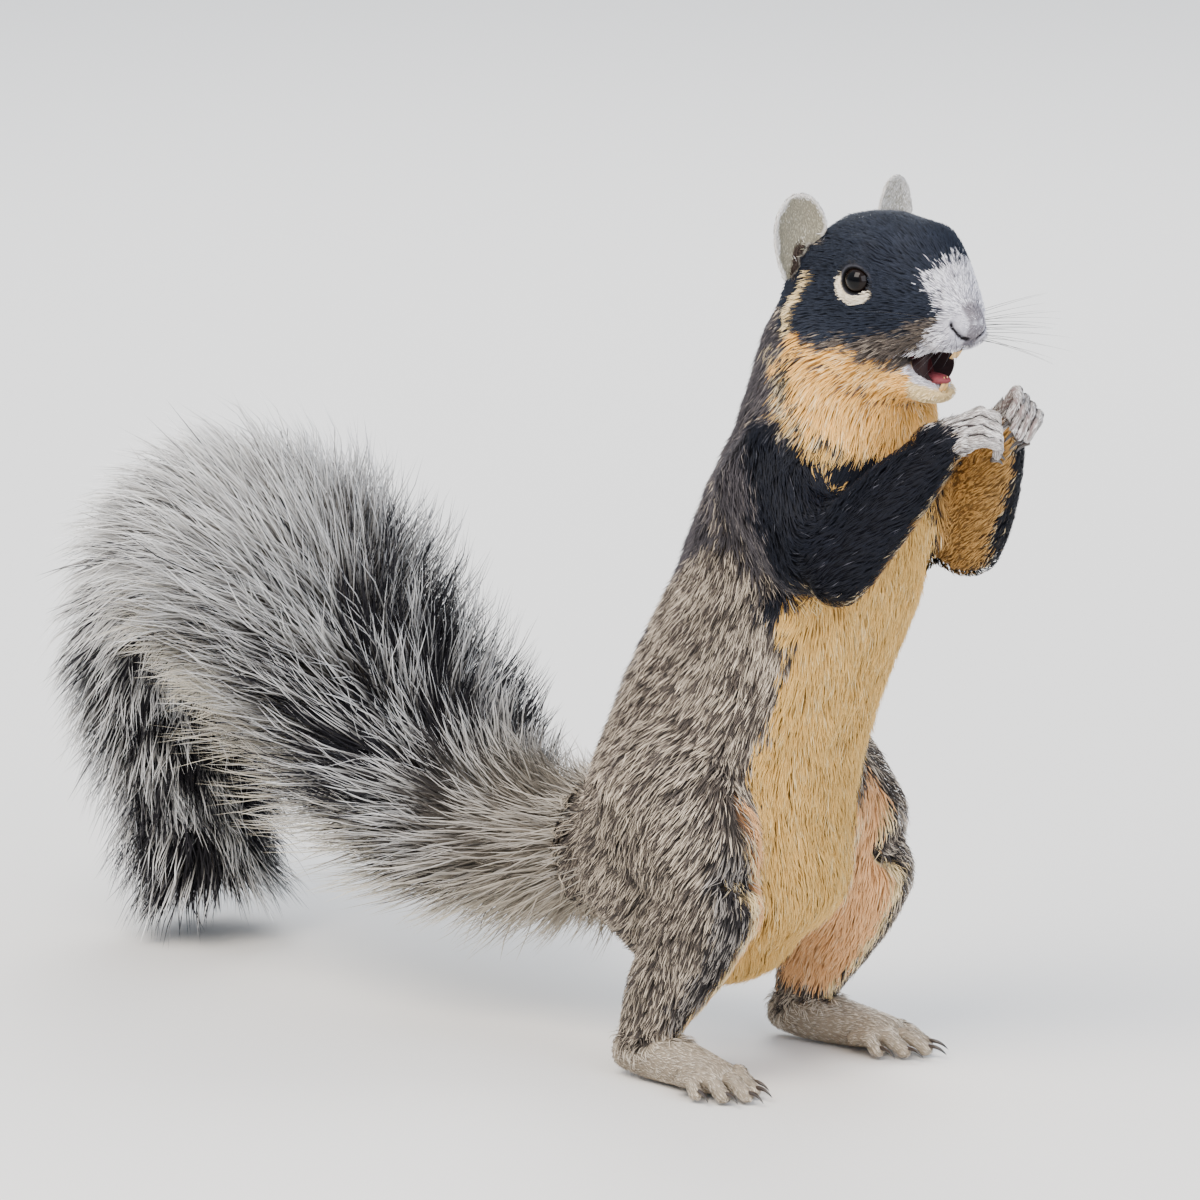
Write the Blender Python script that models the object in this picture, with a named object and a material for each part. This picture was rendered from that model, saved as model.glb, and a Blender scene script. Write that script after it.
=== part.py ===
"""A fox squirrel at life size, upright on its hind feet, forepaws together, tail arched behind it.

X runs forwards, Y to the animal's left and Z up. The tables are in millimetres and the meshes in metres.
The flesh is modelled whole, as overlapping lofts fused by a voxel remesh, then parted by thin cuts.
Every outer surface is that of the coat, out to the tips of the fur.
"""

import math

import bmesh
import bpy
from mathutils import Matrix, Vector

MM = 0.001

# Driving dimensions, in millimetres.
GAP = 0.4  # thin cut between neighbouring pieces
FLESH_VOXEL = 1.7
PAW_VOXEL = 0.9
FLESH_TRIANGLES = 1980
HAND_TRIANGLES = 210
FOOT_TRIANGLES = 210
EYE_RADIUS = 5.1
EAR_HEIGHT = 28.5
EAR_WIDTH = 18.5
EAR_THICKNESS = 1.5
HAND_CLAW = 4.2
FOOT_CLAW = 6.0
SIDES = {"right": -1, "left": 1}  # the sign of Y

# The trunk and neck from crotch to skull: forwards, up, half depth, half width.
SPINE = [
    (-27, 38, 27, 30),
    (-27, 56, 45, 41),
    (-24, 84, 46, 41),
    (-11, 121, 41, 39),
    (7, 157, 39, 38),
    (21, 190, 38, 38),
    (27, 218, 32, 32),
    (31.5, 243, 28.5, 28),
    (35, 255, 25.5, 25),
]
# The skull and muzzle in the head's own frame: forwards, top, bottom, half width.
HEAD_ORIGIN = (45, 0, 263)
HEAD_TURN = -3  # degrees to the animal's left
SKULL = [
    (-24, 16, -26, 20),
    (-14, 23, -28, 22.5),
    (-4, 26, -28, 23),
    (6, 26.6, -27, 22.5),
    (16, 25.8, -22, 20),
    (24, 24.2, -18, 16.4),
    (30, 20, -16.6, 13),
    (35, 13.8, -16, 10.6),
    (39, 7, -14.6, 8.8),
    (41.5, 2, -12, 7.2),
]
SKULL_ENDS = (9, 2)  # how far the rounded ends stand out
JAW = [(8, -12, -33, 15), (18, -20, -33.5, 11.5), (26, -26, -33, 8), (29, -27.5, -32, 5.5)]
# Swellings of the head on each side: forwards, out, up, and their half lengths.
CHEEK = (0, 12, -13, 16, 11, 14)
BROW = (10, 11.5, 16, 12, 8, 7)
WHISKER_PAD = (34.8, 6.2, -8.4, 7.2, 5.6, 6.6)
NOSE_PAD = (41.2, 0, -4.8, 2.8, 5.4, 4.2)
EYE_AT = (7.6, 17.5, 7.2)
EAR_AT = (-15, 21, 4.5)
EAR_SPLAY = 3  # degrees outwards
EAR_FACING = {"right": 27, "left": 8}  # degrees that each cup turns outwards from straight ahead
# The open mouth: forwards, up, half width, half height.
MOUTH = [(20.5, -17.6, 14, 0.9), (28, -20.6, 13, 5), (42, -20.5, 13, 6)]
JAW_HINGE = 21  # where the jaw is parted from the head

# Limbs: forwards, out from the midline, up, half width, half depth.
UPPER_ARM = [(14, 26, 206, 13, 20), (30, 31, 194, 13, 18), (46, 33, 180, 12, 15)]
FOREARM = [
    (50, 33, 177, 12.5, 15),
    (60, 29, 189, 11.5, 14),
    (73, 22, 206, 9.5, 11.5),
    (85, 15, 221, 6.5, 7.5),
]
THIGH = [(-31, 27, 97, 17, 30), (-11, 33, 86, 17, 29), (9, 37, 71, 14, 20)]
SHANK = [(11, 37, 66, 13.5, 16), (-2, 38, 48, 13, 17), (-16, 38, 28, 10, 14), (-24, 38, 13, 7, 9)]
FOOT = [(-30, 38, 8, 6, 7), (-20, 38, 9, 7.5, 9), (-4, 39.5, 8, 8.5, 8), (13, 42, 6.5, 11, 7)]
FOOT_SPLAY = 8  # degrees that the toes turn outwards
# Toes: across, length, radius.
TOES = [(-9.0, 11, 2.6), (-4.8, 16, 2.9), (0.0, 17.5, 3.0), (4.8, 16, 2.9), (9.0, 10, 2.6)]

# Hands: wrist, knuckles and fingertips, and the direction in which the four fingers are spread.
HANDS = {
    "right": ((85, -15, 223), (98, -10, 228), (98, -4, 220.5), (-0.36, 0.4, 0.75)),
    "left": ((85, 15, 224), (99.5, 9.5, 233), (99, 4, 224), (-0.5, -0.35, 0.7)),
}
FINGERS = [(-5.0, 0.9), (-1.7, 1.05), (1.7, 1.0), (5.0, 0.8)]  # across, share of the full length

# The tail with its hair: forwards, left, up, half thickness, half width.
TAIL = [
    (-50, 0, 66, 23, 24),
    (-78, 0, 63, 26, 28),
    (-104, 0, 60, 30, 33),
    (-132, 0, 64, 36, 41),
    (-162, 0, 80, 44, 50),
    (-194, 1, 111, 49, 55),
    (-214, 2, 130, 48.5, 55),
    (-236, 5, 139, 47, 53),
    (-259, 10, 132, 43, 49),
    (-276, 14, 114, 39, 45),
    (-283, 17, 88, 35, 41),
    (-281, 20, 55, 31, 37),
    (-270, 21, 17, 22, 29),
]
# Where each length starts and ends, as a place in that table.
TAIL_LENGTHS = {
    "tail_root": (1, 3.2),
    "tail_rise": (3.2, 5.5),
    "tail_arch": (5.5, 8.5),
    "tail_tip": (8.5, 12),
}
TAIL_RINGS = 6
TAIL_SIDES = 16

# Cuts through the trunk: a point of the plane (forwards, up) and its normal, towards the head.
TRUNK_CUTS = [
    ("hips", "abdomen", (-18, 104), (0.22, 0.97)),
    ("abdomen", "chest", (4, 152), (0.38, 0.92)),
    ("chest", "neck", (24, 210), (0.2, 0.98)),
    ("neck", "head", (38, 243), (0.52, 0.85)),
]
CUTTER = 500  # size of the boxes that cut at a plane

COAT_COLOURS = {
    "black": ((0.03, 0.03, 0.035), 0.6),
    "grizzled": ((0.2, 0.17, 0.15), 0.7),
    "buff": ((0.6, 0.42, 0.24), 0.7),
    "white": ((0.62, 0.6, 0.58), 0.7),
    "silver": ((0.36, 0.35, 0.35), 0.7),
    "eye": ((0.01, 0.008, 0.008), 0.05),
    "nose": ((0.25, 0.22, 0.22), 0.45),
    "claw": ((0.06, 0.05, 0.045), 0.35),
    "tooth": ((0.75, 0.5, 0.2), 0.3),
}


# Building blocks


def clear_scene():
    for obj in list(bpy.data.objects):
        bpy.data.objects.remove(obj, do_unlink=True)


def add_object(name, bm):
    """A new object from a bmesh, in triangles that point outwards."""
    bmesh.ops.triangulate(bm, faces=bm.faces, quad_method="FIXED")
    bmesh.ops.recalc_face_normals(bm, faces=bm.faces)
    mesh = bpy.data.meshes.new(name)
    bm.to_mesh(mesh)
    bm.free()
    obj = bpy.data.objects.new(name, mesh)
    bpy.context.scene.collection.objects.link(obj)
    return obj


def spline(rows, where):
    """The row at a place along a table of rows: a Catmull-Rom curve through every column."""
    last = len(rows) - 1
    span = min(int(where), last - 1)
    t = where - span
    before, start = rows[max(span - 1, 0)], rows[span]
    end, after = rows[span + 1], rows[min(span + 2, last)]
    return [
        0.5 * (2 * b + (c - a) * t + (2 * a - 5 * b + 4 * c - d) * t**2 + (3 * b - a - 3 * c + d) * t**3)
        for a, b, c, d in zip(before, start, end, after)
    ]


def samples(first, last, count):
    return [first + (last - first) * i / (count - 1) for i in range(count)]


def loft(name, rows, sides=20, rings=16, ends=(8, 8), span=None, grow=0.0, facing=None):
    """A closed tube of ellipses. A row holds x, y, z, half width (towards Y) and half depth.

    The rings are square to the tube's path, or to the facing where one is given.
    """
    first, last = span or (0, len(rows) - 1)
    sections = [spline(rows, w) for w in samples(first, last, rings)]
    centres = [Vector(s[:3]) for s in sections]
    bm = bmesh.new()
    loops = []

    def add_ring(i, shrink=1.0, ahead=0.0):
        along = facing or (centres[min(i + 1, rings - 1)] - centres[max(i - 1, 0)]).normalized()
        across = (Vector((0, 1, 0)) - along * along.y).normalized()
        deep = along.cross(across)
        width, depth = ((sections[i][3 + k] + grow) * shrink for k in (0, 1))
        angles = [2 * math.pi * k / sides for k in range(sides)]
        centre = centres[i] + along * ahead
        points = [centre + across * width * math.cos(a) + deep * depth * math.sin(a) for a in angles]
        loops.append([bm.verts.new(p * MM) for p in points])

    def add_end(i, reach):
        angles = (40, 68) if rings > 4 else (50,)
        for angle in angles if i else angles[::-1]:
            turn = math.radians(angle)
            add_ring(i, math.cos(turn), (reach if i else -reach) * math.sin(turn))

    if ends[0]:
        add_end(0, ends[0] + grow)
    for i in range(rings):
        add_ring(i)
    if ends[1]:
        add_end(rings - 1, ends[1] + grow)
    for ring, following in zip(loops, loops[1:]):
        for k in range(sides):
            bm.faces.new((ring[k], ring[(k + 1) % sides], following[(k + 1) % sides], following[k]))
    bm.faces.new(loops[0][::-1])
    bm.faces.new(loops[-1])
    return add_object(name, bm)


def ellipsoid(name, centre, radii, segments=20, rings=12):
    bm = bmesh.new()
    bmesh.ops.create_uvsphere(bm, u_segments=segments, v_segments=rings, radius=1)
    bm.transform(Matrix.Translation(Vector(centre) * MM) @ Matrix.Diagonal(Vector(radii) * MM).to_4x4())
    return add_object(name, bm)


def box(name, centre, size, turn=None):
    """A box that the cuts use; turn is its rotation."""
    bm = bmesh.new()
    bmesh.ops.create_cube(bm, size=1)
    place = Matrix.Translation(Vector(centre) * MM)
    bm.transform(place @ (turn or Matrix.Identity(3)).to_4x4() @ Matrix.Diagonal(Vector(size) * MM).to_4x4())
    return add_object(name, bm)


def bake_modifiers(obj):
    """The object's mesh as its modifiers leave it."""
    bpy.context.view_layer.update()
    graph = bpy.context.evaluated_depsgraph_get()
    mesh = bpy.data.meshes.new_from_object(obj.evaluated_get(graph))
    obj.modifiers.clear()
    obj.data = mesh
    return obj


def joined(name, pieces):
    bm = bmesh.new()
    for piece in pieces:
        bm.from_mesh(piece.data)
        bpy.data.objects.remove(piece, do_unlink=True)
    return add_object(name, bm)


def fused(name, pieces, voxel, smoothing, triangles):
    """Overlapping pieces as one smooth skin with about that many triangles."""
    obj = joined(name, pieces)
    remesh = obj.modifiers.new("remesh", "REMESH")
    remesh.mode = "VOXEL"
    remesh.voxel_size = voxel * MM
    smooth = obj.modifiers.new("smooth", "SMOOTH")
    smooth.factor = 0.5
    smooth.iterations = smoothing
    bake_modifiers(obj)
    full = sum(len(p.vertices) - 2 for p in obj.data.polygons)
    fewer = obj.modifiers.new("fewer", "DECIMATE")
    fewer.ratio = min(1.0, triangles / full)
    return bake_modifiers(obj)


def copy_of(obj, name):
    twin = bpy.data.objects.new(name, obj.data.copy())
    bpy.context.scene.collection.objects.link(twin)
    return twin


def grown(obj, name):
    """A copy whose surface stands out by the gap, to cut its neighbours with."""
    twin = copy_of(obj, name)
    bm = bmesh.new()
    bm.from_mesh(twin.data)
    bm.normal_update()
    steps = [vert.normal * GAP * MM for vert in bm.verts]
    for vert, step in zip(bm.verts, steps):
        vert.co += step
    bm.to_mesh(twin.data)
    bm.free()
    return twin


def boolean(obj, tool, operation):
    """Cuts an object with a tool, which is used up."""
    cut = obj.modifiers.new("cut", "BOOLEAN")
    cut.operation = operation
    cut.solver = "EXACT"
    cut.object = tool
    bake_modifiers(obj)
    bpy.data.objects.remove(tool, do_unlink=True)
    return obj


def part_off(rest, name, region, wider):
    """Takes the stretch of flesh inside a region as a new piece, and cuts the rest back by a wider region."""
    piece = boolean(copy_of(rest, name), region, "INTERSECT")
    boolean(rest, wider, "DIFFERENCE")
    return keep_largest(piece), keep_largest(rest)


def half_space(point, normal):
    """A large box on the side of a plane that its normal points to, from half a gap off the plane."""
    normal = Vector(normal).normalized()
    turn = normal.to_track_quat("Z", "Y").to_matrix()
    centre = Vector(point) + normal * (CUTTER / 2 + GAP / 2)
    return box("half_space", centre, (CUTTER, CUTTER, CUTTER), turn)


def split(obj, point, normal, name):
    """Parts an object at a plane: the side that the normal points to becomes a new piece."""
    normal = Vector(normal)
    piece = boolean(copy_of(obj, name), half_space(point, normal), "INTERSECT")
    boolean(obj, half_space(point, -normal), "INTERSECT")
    return keep_largest(piece), keep_largest(obj)


def keep_largest(obj):
    """Drops the crumbs that a cut can leave beside the main body."""
    bm = bmesh.new()
    bm.from_mesh(obj.data)
    left = set(bm.verts)
    islands = []
    while left:
        island = set()
        edge = [left.pop()]
        while edge:
            vert = edge.pop()
            island.add(vert)
            for link in vert.link_edges:
                other = link.other_vert(vert)
                if other in left:
                    left.discard(other)
                    edge.append(other)
        islands.append(island)
    main = max(islands, key=len)
    bmesh.ops.delete(bm, geom=[v for v in bm.verts if v not in main], context="VERTS")
    bm.to_mesh(obj.data)
    bm.free()
    return obj


def turned_head():
    """The head's own frame in the animal's: its origin and its turn."""
    return Matrix.Translation(Vector(HEAD_ORIGIN)) @ Matrix.Rotation(math.radians(HEAD_TURN), 4, "Z")


def on_head(forwards, out, up):
    return turned_head() @ Vector((forwards, out, up))


def mirrored(rows, side):
    return [(r[0], side * r[1], *r[2:]) for r in rows]


# Flesh


def head_loft(name, table, ends):
    """A loft from a table of forwards, top, bottom and half width in the head's frame."""
    rows = []
    for x, top, bottom, width in table:
        rows.append((*on_head(x, 0, (top + bottom) / 2), width, (top - bottom) / 2))
    return loft(name, rows, sides=28, rings=30, ends=ends, facing=turned_head().col[0].to_3d())


def swelling(shape, side):
    centre = on_head(shape[0], side * shape[1], shape[2])
    lump = ellipsoid("swelling", (0, 0, 0), shape[3:])
    lump.data.transform(Matrix.Translation(centre * MM) @ turned_head().to_3x3().to_4x4())
    return lump


def make_flesh():
    trunk = [(x, 0, z, width, depth) for x, z, depth, width in SPINE]
    pieces = [loft("trunk", trunk, sides=28, rings=30, ends=(14, 12))]
    pieces.append(head_loft("skull", SKULL, SKULL_ENDS))
    pieces.append(head_loft("jaw", JAW, (6, 2)))
    stump = [(x, y, z, width, thickness) for x, y, z, thickness, width in TAIL[:3]]
    pieces.append(loft("tail_stump", stump, span=(0, 1.4), ends=(5, 5)))
    for side in SIDES.values():
        for table in (UPPER_ARM, FOREARM, THIGH, SHANK):
            pieces.append(loft("limb", mirrored(table, side)))
        for shape in (CHEEK, BROW, WHISKER_PAD):
            pieces.append(swelling(shape, side))
    return fused("flesh", pieces, FLESH_VOXEL, 5, FLESH_TRIANGLES)


def region_rows(table, wider):
    return [(*row[:3], row[3] + wider, row[4] + wider) for row in table]


def part_limbs(flesh):
    """Arms and legs, each taken off the trunk inside a tube a little wider than the limb."""
    limbs = {}
    for word, side in SIDES.items():
        for name, table, margin in (
            ("forearm", FOREARM, 4),
            ("upper_arm", UPPER_ARM, 2),
            ("shank", SHANK, 4),
            ("thigh", THIGH, 2),
        ):
            rows = mirrored(region_rows(table, margin), side)
            inner = loft("region", rows, sides=10, rings=3)
            outer = loft("wider_region", rows, sides=10, rings=3, grow=GAP)
            full_name = f"{name}_{word}"
            limbs[full_name], flesh = part_off(flesh, full_name, inner, outer)
    return limbs, flesh


def part_trunk(flesh):
    """Hips, abdomen, chest, neck and head, by planes across the spine."""
    pieces = {}
    rest = flesh
    for lower, upper, (x, z), (normal_x, normal_z) in TRUNK_CUTS:
        above, below = split(rest, (x, 0, z), (normal_x, 0, normal_z), upper)
        below.name = lower
        pieces[lower] = below
        rest = above
    rest.name = "head"
    pieces["head"] = rest
    return pieces


# Head


def make_ear(word, name):
    """A cupped oval leaf with a thick rim, its hollow turned forwards and out."""
    side = SIDES[word]
    rows, columns = 8, 6
    widest = 0.52  # height of the ear's widest place
    bm = bmesh.new()
    grid = []
    for i in range(rows):
        v = math.sin(math.pi / 2 * i / (rows - 0.4))
        if v < widest:
            fullness = 0.66 + 0.34 * math.sin(math.pi / 2 * v / widest)
        else:
            fullness = math.sqrt(1 - ((v - widest) / (1 - widest)) ** 2)
        half = EAR_WIDTH / 2 * fullness
        curl = math.radians(64 - 36 * v)
        radius = half / math.sin(curl)
        line = []
        for k in range(columns):
            angle = (2 * k / (columns - 1) - 1) * curl
            hollow = radius * (math.cos(angle) - math.cos(curl))
            line.append(bm.verts.new(Vector((-hollow, radius * math.sin(angle), EAR_HEIGHT * v)) * MM))
        grid.append(line)
    for low, high in zip(grid, grid[1:]):
        for k in range(columns - 1):
            bm.faces.new((low[k], low[k + 1], high[k + 1], high[k]))
    ear = add_object(name, bm)
    shell = ear.modifiers.new("shell", "SOLIDIFY")
    shell.thickness = EAR_THICKNESS * MM
    shell.offset = 0
    bake_modifiers(ear)
    facing = Matrix.Rotation(math.radians(side * EAR_FACING[word] + HEAD_TURN), 4, "Z")
    splay = Matrix.Rotation(math.radians(-side * EAR_SPLAY), 4, "X")
    root = Matrix.Translation(on_head(EAR_AT[0], side * EAR_AT[1], EAR_AT[2]) * MM)
    ear.data.transform(root @ splay @ facing)
    return ear


def make_teeth(name, root, tip, width):
    """A pair of incisors, as one curved chisel with a notch between the two at its edge."""
    start, end = on_head(*root), on_head(*tip)
    middle = (start + end) / 2 + Vector((1.2, 0, 0))
    rows = [(*start, width, 1.3), (*middle, width, 1.2), (*end, width * 0.8, 0.6)]
    return loft(name, rows, sides=8, rings=4, ends=(0, 0))


def make_head(pieces):
    head = pieces["head"]
    for word in SIDES:
        ear = make_ear(word, f"ear_{word}")
        pieces[ear.name] = keep_largest(boolean(ear, grown(head, "trim"), "DIFFERENCE"))
    for word, side in SIDES.items():
        centre = on_head(EYE_AT[0], side * EYE_AT[1], EYE_AT[2])
        eye = ellipsoid(f"eye_{word}", centre, (EYE_RADIUS,) * 3, segments=12, rings=8)
        boolean(head, grown(eye, "socket"), "DIFFERENCE")
        pieces[eye.name] = eye
    nose = ellipsoid("nose", on_head(*NOSE_PAD[:3]), NOSE_PAD[3:], segments=10, rings=6)
    boolean(head, grown(nose, "nose_socket"), "DIFFERENCE")
    pieces["nose"] = nose
    return cut_mouth(pieces)


def cut_mouth(pieces):
    """Opens the mouth, frees the jaw from the head, and sets the incisors in their sockets."""
    head = pieces["head"]
    turn = Matrix.Rotation(math.radians(HEAD_TURN), 3, "Z")
    rows = [(*on_head(x, 0, z), width, height) for x, z, width, height in MOUTH]
    boolean(head, loft("mouth", rows, sides=12, rings=5, ends=(0, 0)), "DIFFERENCE")
    length, level = 40, MOUTH[0][1]
    centre = on_head(JAW_HINGE + length / 2, 0, level - length / 2)
    inner = box("jaw_region", centre, (length, length, length), turn)
    outer = box("jaw_gap", centre, (length + 2 * GAP, length + 2 * GAP, length + 2 * GAP), turn)
    pieces["lower_jaw"], pieces["head"] = part_off(head, "lower_jaw", inner, outer)
    upper = make_teeth("incisors_upper", (37, 0, -10), (36.5, 0, -18.5), 2.0)
    boolean(pieces["head"], grown(upper, "tooth_socket"), "DIFFERENCE")
    lower = make_teeth("incisors_lower", (26.5, 0, -30), (28.5, 0, -23.5), 1.7)
    boolean(pieces["lower_jaw"], grown(lower, "tooth_socket"), "DIFFERENCE")
    pieces["incisors_upper"], pieces["incisors_lower"] = upper, lower
    return pieces


# Paws


def make_claw(name, root, along, down, length):
    """A hooked claw that starts just clear of the digit's tip."""
    start = root + along * GAP
    middle = start + along * length * 0.55 + down * length * 0.12
    tip = start + along * length * 0.9 + down * length * 0.5
    rows = [(*start, 0.75, 0.95), (*middle, 0.6, 0.75), (*tip, 0.28, 0.3)]
    return loft(name, rows, sides=5, rings=3, ends=(0, 0))


def make_hand(word):
    """Palm, four fingers and the stub of a thumb, with a claw ahead of each finger."""
    wrist, knuckles, tips, spread = (Vector(place) for place in HANDS[word])
    spread.normalize()
    forwards = (knuckles - wrist).normalized()
    palm_middle = (wrist + knuckles) / 2
    inwards = Vector((0, -SIDES[word], 0))
    palm = [(*(wrist - forwards * 3), 5.6, 5.6), (*palm_middle, 4.4, 7.4), (*knuckles, 3.4, 7.0)]
    pieces = [loft("palm", palm, rings=10, ends=(3, 3))]
    pieces.append(ellipsoid("thumb", wrist + forwards * 8 - spread * 6 + inwards * 1.5, (3, 2.4, 2.4)))
    claws = {}
    for number, (across, share) in enumerate(FINGERS, 1):
        base = knuckles - forwards * 3 + spread * across
        end = knuckles + (tips - knuckles) * share + spread * across * 0.85
        bend = (base + end) / 2 + (forwards + (knuckles - tips).normalized() * 0.2) * 3.2
        rows = [(*base, 2.3, 2.3), (*bend, 2.1, 2.1), (*end, 1.6, 1.6)]
        pieces.append(loft("finger", rows, sides=12, rings=8, ends=(2, 1.6)))
        along = (end - bend).normalized()
        hook = inwards - along * inwards.dot(along)
        name = f"claw_hand_{word}_{number}"
        claws[name] = make_claw(name, end + along * 1.6, along, hook, HAND_CLAW)
    return fused(f"hand_{word}", pieces, PAW_VOXEL, 2, HAND_TRIANGLES), claws


def make_foot(word):
    """A long sole with five toes, flat where it stands on the floor."""
    side = SIDES[word]
    pieces = [loft("sole", mirrored(FOOT, side), rings=14, ends=(5, 5))]
    claws = {}
    ball = Vector((FOOT[-1][0], side * FOOT[-1][1], 0))
    splay = Matrix.Rotation(math.radians(side * FOOT_SPLAY), 3, "Z")
    for number, (across, length, radius) in enumerate(TOES, 1):
        outwards = side * across
        fan = Matrix.Rotation(math.radians(side * across * 1.2), 3, "Z")
        along = splay @ fan @ Vector((1, 0, 0))
        base = ball + splay @ Vector((-4 - abs(across) * 0.5, outwards, 5.5))
        joint = base + along * length * 0.6 + Vector((0, 0, 1.2))
        end = base + along * length + Vector((0, 0, -2.4))
        nail = radius * 0.85
        rows = [(*base, radius * 1.15, radius * 1.3), (*joint, radius, radius * 1.1), (*end, nail, nail)]
        pieces.append(loft("toe", rows, sides=12, rings=8, ends=(2, nail)))
        name = f"claw_foot_{word}_{number}"
        claws[name] = make_claw(name, end + along * nail, along, Vector((0, 0, -0.55)), FOOT_CLAW)
    foot = fused(f"foot_{word}", pieces, PAW_VOXEL, 2, FOOT_TRIANGLES)
    return foot, claws


def stand_on_floor(obj):
    """Cuts the underside level with the floor."""
    half = CUTTER / 2
    floor = box("floor", (0, 0, half), (2 * CUTTER, CUTTER, CUTTER))
    return keep_largest(boolean(obj, floor, "INTERSECT"))


def make_paws(pieces):
    for word in SIDES:
        hand, hand_claws = make_hand(word)
        boolean(hand, grown(pieces[f"forearm_{word}"], "wrist"), "DIFFERENCE")
        foot, foot_claws = make_foot(word)
        boolean(foot, grown(pieces[f"shank_{word}"], "ankle"), "DIFFERENCE")
        for paw, claws in ((hand, hand_claws), (stand_on_floor(foot), foot_claws)):
            pieces[paw.name] = keep_largest(paw)
            for name, claw in claws.items():
                boolean(paw, grown(claw, "claw_bed"), "DIFFERENCE")
                pieces[name] = claw
            keep_largest(paw)
    return pieces


# Tail


def tail_section(where):
    """The tail at a place along its table: its centre, the way it runs, half width and half thickness."""
    section = spline(TAIL, where)
    ahead = spline(TAIL, where + 0.01) if where < len(TAIL) - 1 else section
    behind = spline(TAIL, where - 0.01)
    along = (Vector(ahead[:3]) - Vector(behind[:3])).normalized()
    return Vector(section[:3]), along, section[4], section[3]


def make_tail(pieces):
    """The plume in four lengths, with a thin cut between them, the first one set against the rump."""
    for name, (start, end) in TAIL_LENGTHS.items():
        pieces[name] = tail_length(name, start, end)
    stand_on_floor(pieces["tail_tip"])
    root, along, _, _ = tail_section(TAIL_LENGTHS["tail_root"][0])
    boolean(pieces["hips"], half_space(root, -along), "INTERSECT")
    keep_largest(pieces["hips"])
    return pieces


def tail_length(name, start, end):
    """One length of the plume, closed by flat ends, or by a rounded end at the tip."""
    bm = bmesh.new()
    loops = []

    def add_ring(where, shrink=1.0, ahead=0.0):
        centre, along, width, thickness = tail_section(where)
        across = (Vector((0, 1, 0)) - along * along.y).normalized()
        deep = along.cross(across)
        angles = [2 * math.pi * k / TAIL_SIDES for k in range(TAIL_SIDES)]
        points = [across * width * math.cos(a) + deep * thickness * math.sin(a) for a in angles]
        loops.append([bm.verts.new((centre + along * ahead + p * shrink) * MM) for p in points])

    add_ring(start, ahead=GAP / 2)
    for where in samples(start, end, TAIL_RINGS)[1:-1]:
        add_ring(where)
    if end < len(TAIL) - 1:
        add_ring(end, ahead=-GAP / 2)
    else:
        reach = tail_section(end)[3]
        for angle in (0, 30, 60):
            add_ring(end, math.cos(math.radians(angle)), reach * math.sin(math.radians(angle)))
    for low, high in zip(loops, loops[1:]):
        for k in range(TAIL_SIDES):
            other = (k + 1) % TAIL_SIDES
            bm.faces.new((low[k], low[other], high[other], high[k]))
    bm.faces.new(loops[0][::-1])
    bm.faces.new(loops[-1])
    return add_object(name, bm)


# Finish


def colour_of(name):
    if name.startswith("claw"):
        return "claw"
    if name.startswith("incisors"):
        return "tooth"
    if name.startswith("tail"):
        return "silver"
    if name.startswith(("hand", "foot", "ear")):
        return "white"
    if name.startswith(("upper_arm", "forearm", "head", "neck")):
        return "black"
    return {"nose": "nose", "eye_right": "eye", "eye_left": "eye", "lower_jaw": "buff"}.get(name, "grizzled")


def paint(obj):
    key = colour_of(obj.name)
    material = bpy.data.materials.get(key)
    if material is None:
        colour, roughness = COAT_COLOURS[key]
        material = bpy.data.materials.new(key)
        material.use_nodes = True
        shader = material.node_tree.nodes["Principled BSDF"]
        shader.inputs["Base Color"].default_value = (*colour, 1)
        shader.inputs["Roughness"].default_value = roughness
        shader.inputs["Metallic"].default_value = 0
    obj.data.materials.clear()
    obj.data.materials.append(material)
    obj.data.shade_smooth()


def centre_on_origin(objects):
    """Moves everything so that the bottom centre of the whole box is the origin."""
    corners = [vert.co for obj in objects for vert in obj.data.vertices]
    low = [min(c[i] for c in corners) for i in range(3)]
    high = [max(c[i] for c in corners) for i in range(3)]
    shift = Vector((-(low[0] + high[0]) / 2, -(low[1] + high[1]) / 2, -low[2]))
    for obj in objects:
        obj.data.transform(Matrix.Translation(shift))


def main():
    clear_scene()
    flesh = make_flesh()
    limbs, flesh = part_limbs(flesh)
    pieces = part_trunk(flesh)
    pieces.update(limbs)
    make_head(pieces)
    make_paws(pieces)
    make_tail(pieces)
    for name, obj in pieces.items():
        obj.name = name
        paint(obj)
    centre_on_origin(list(pieces.values()))


main()
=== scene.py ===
import math

import bmesh
import bpy
import numpy as np
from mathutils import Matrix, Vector
from mathutils.bvhtree import BVHTree
from mathutils.kdtree import KDTree


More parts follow.
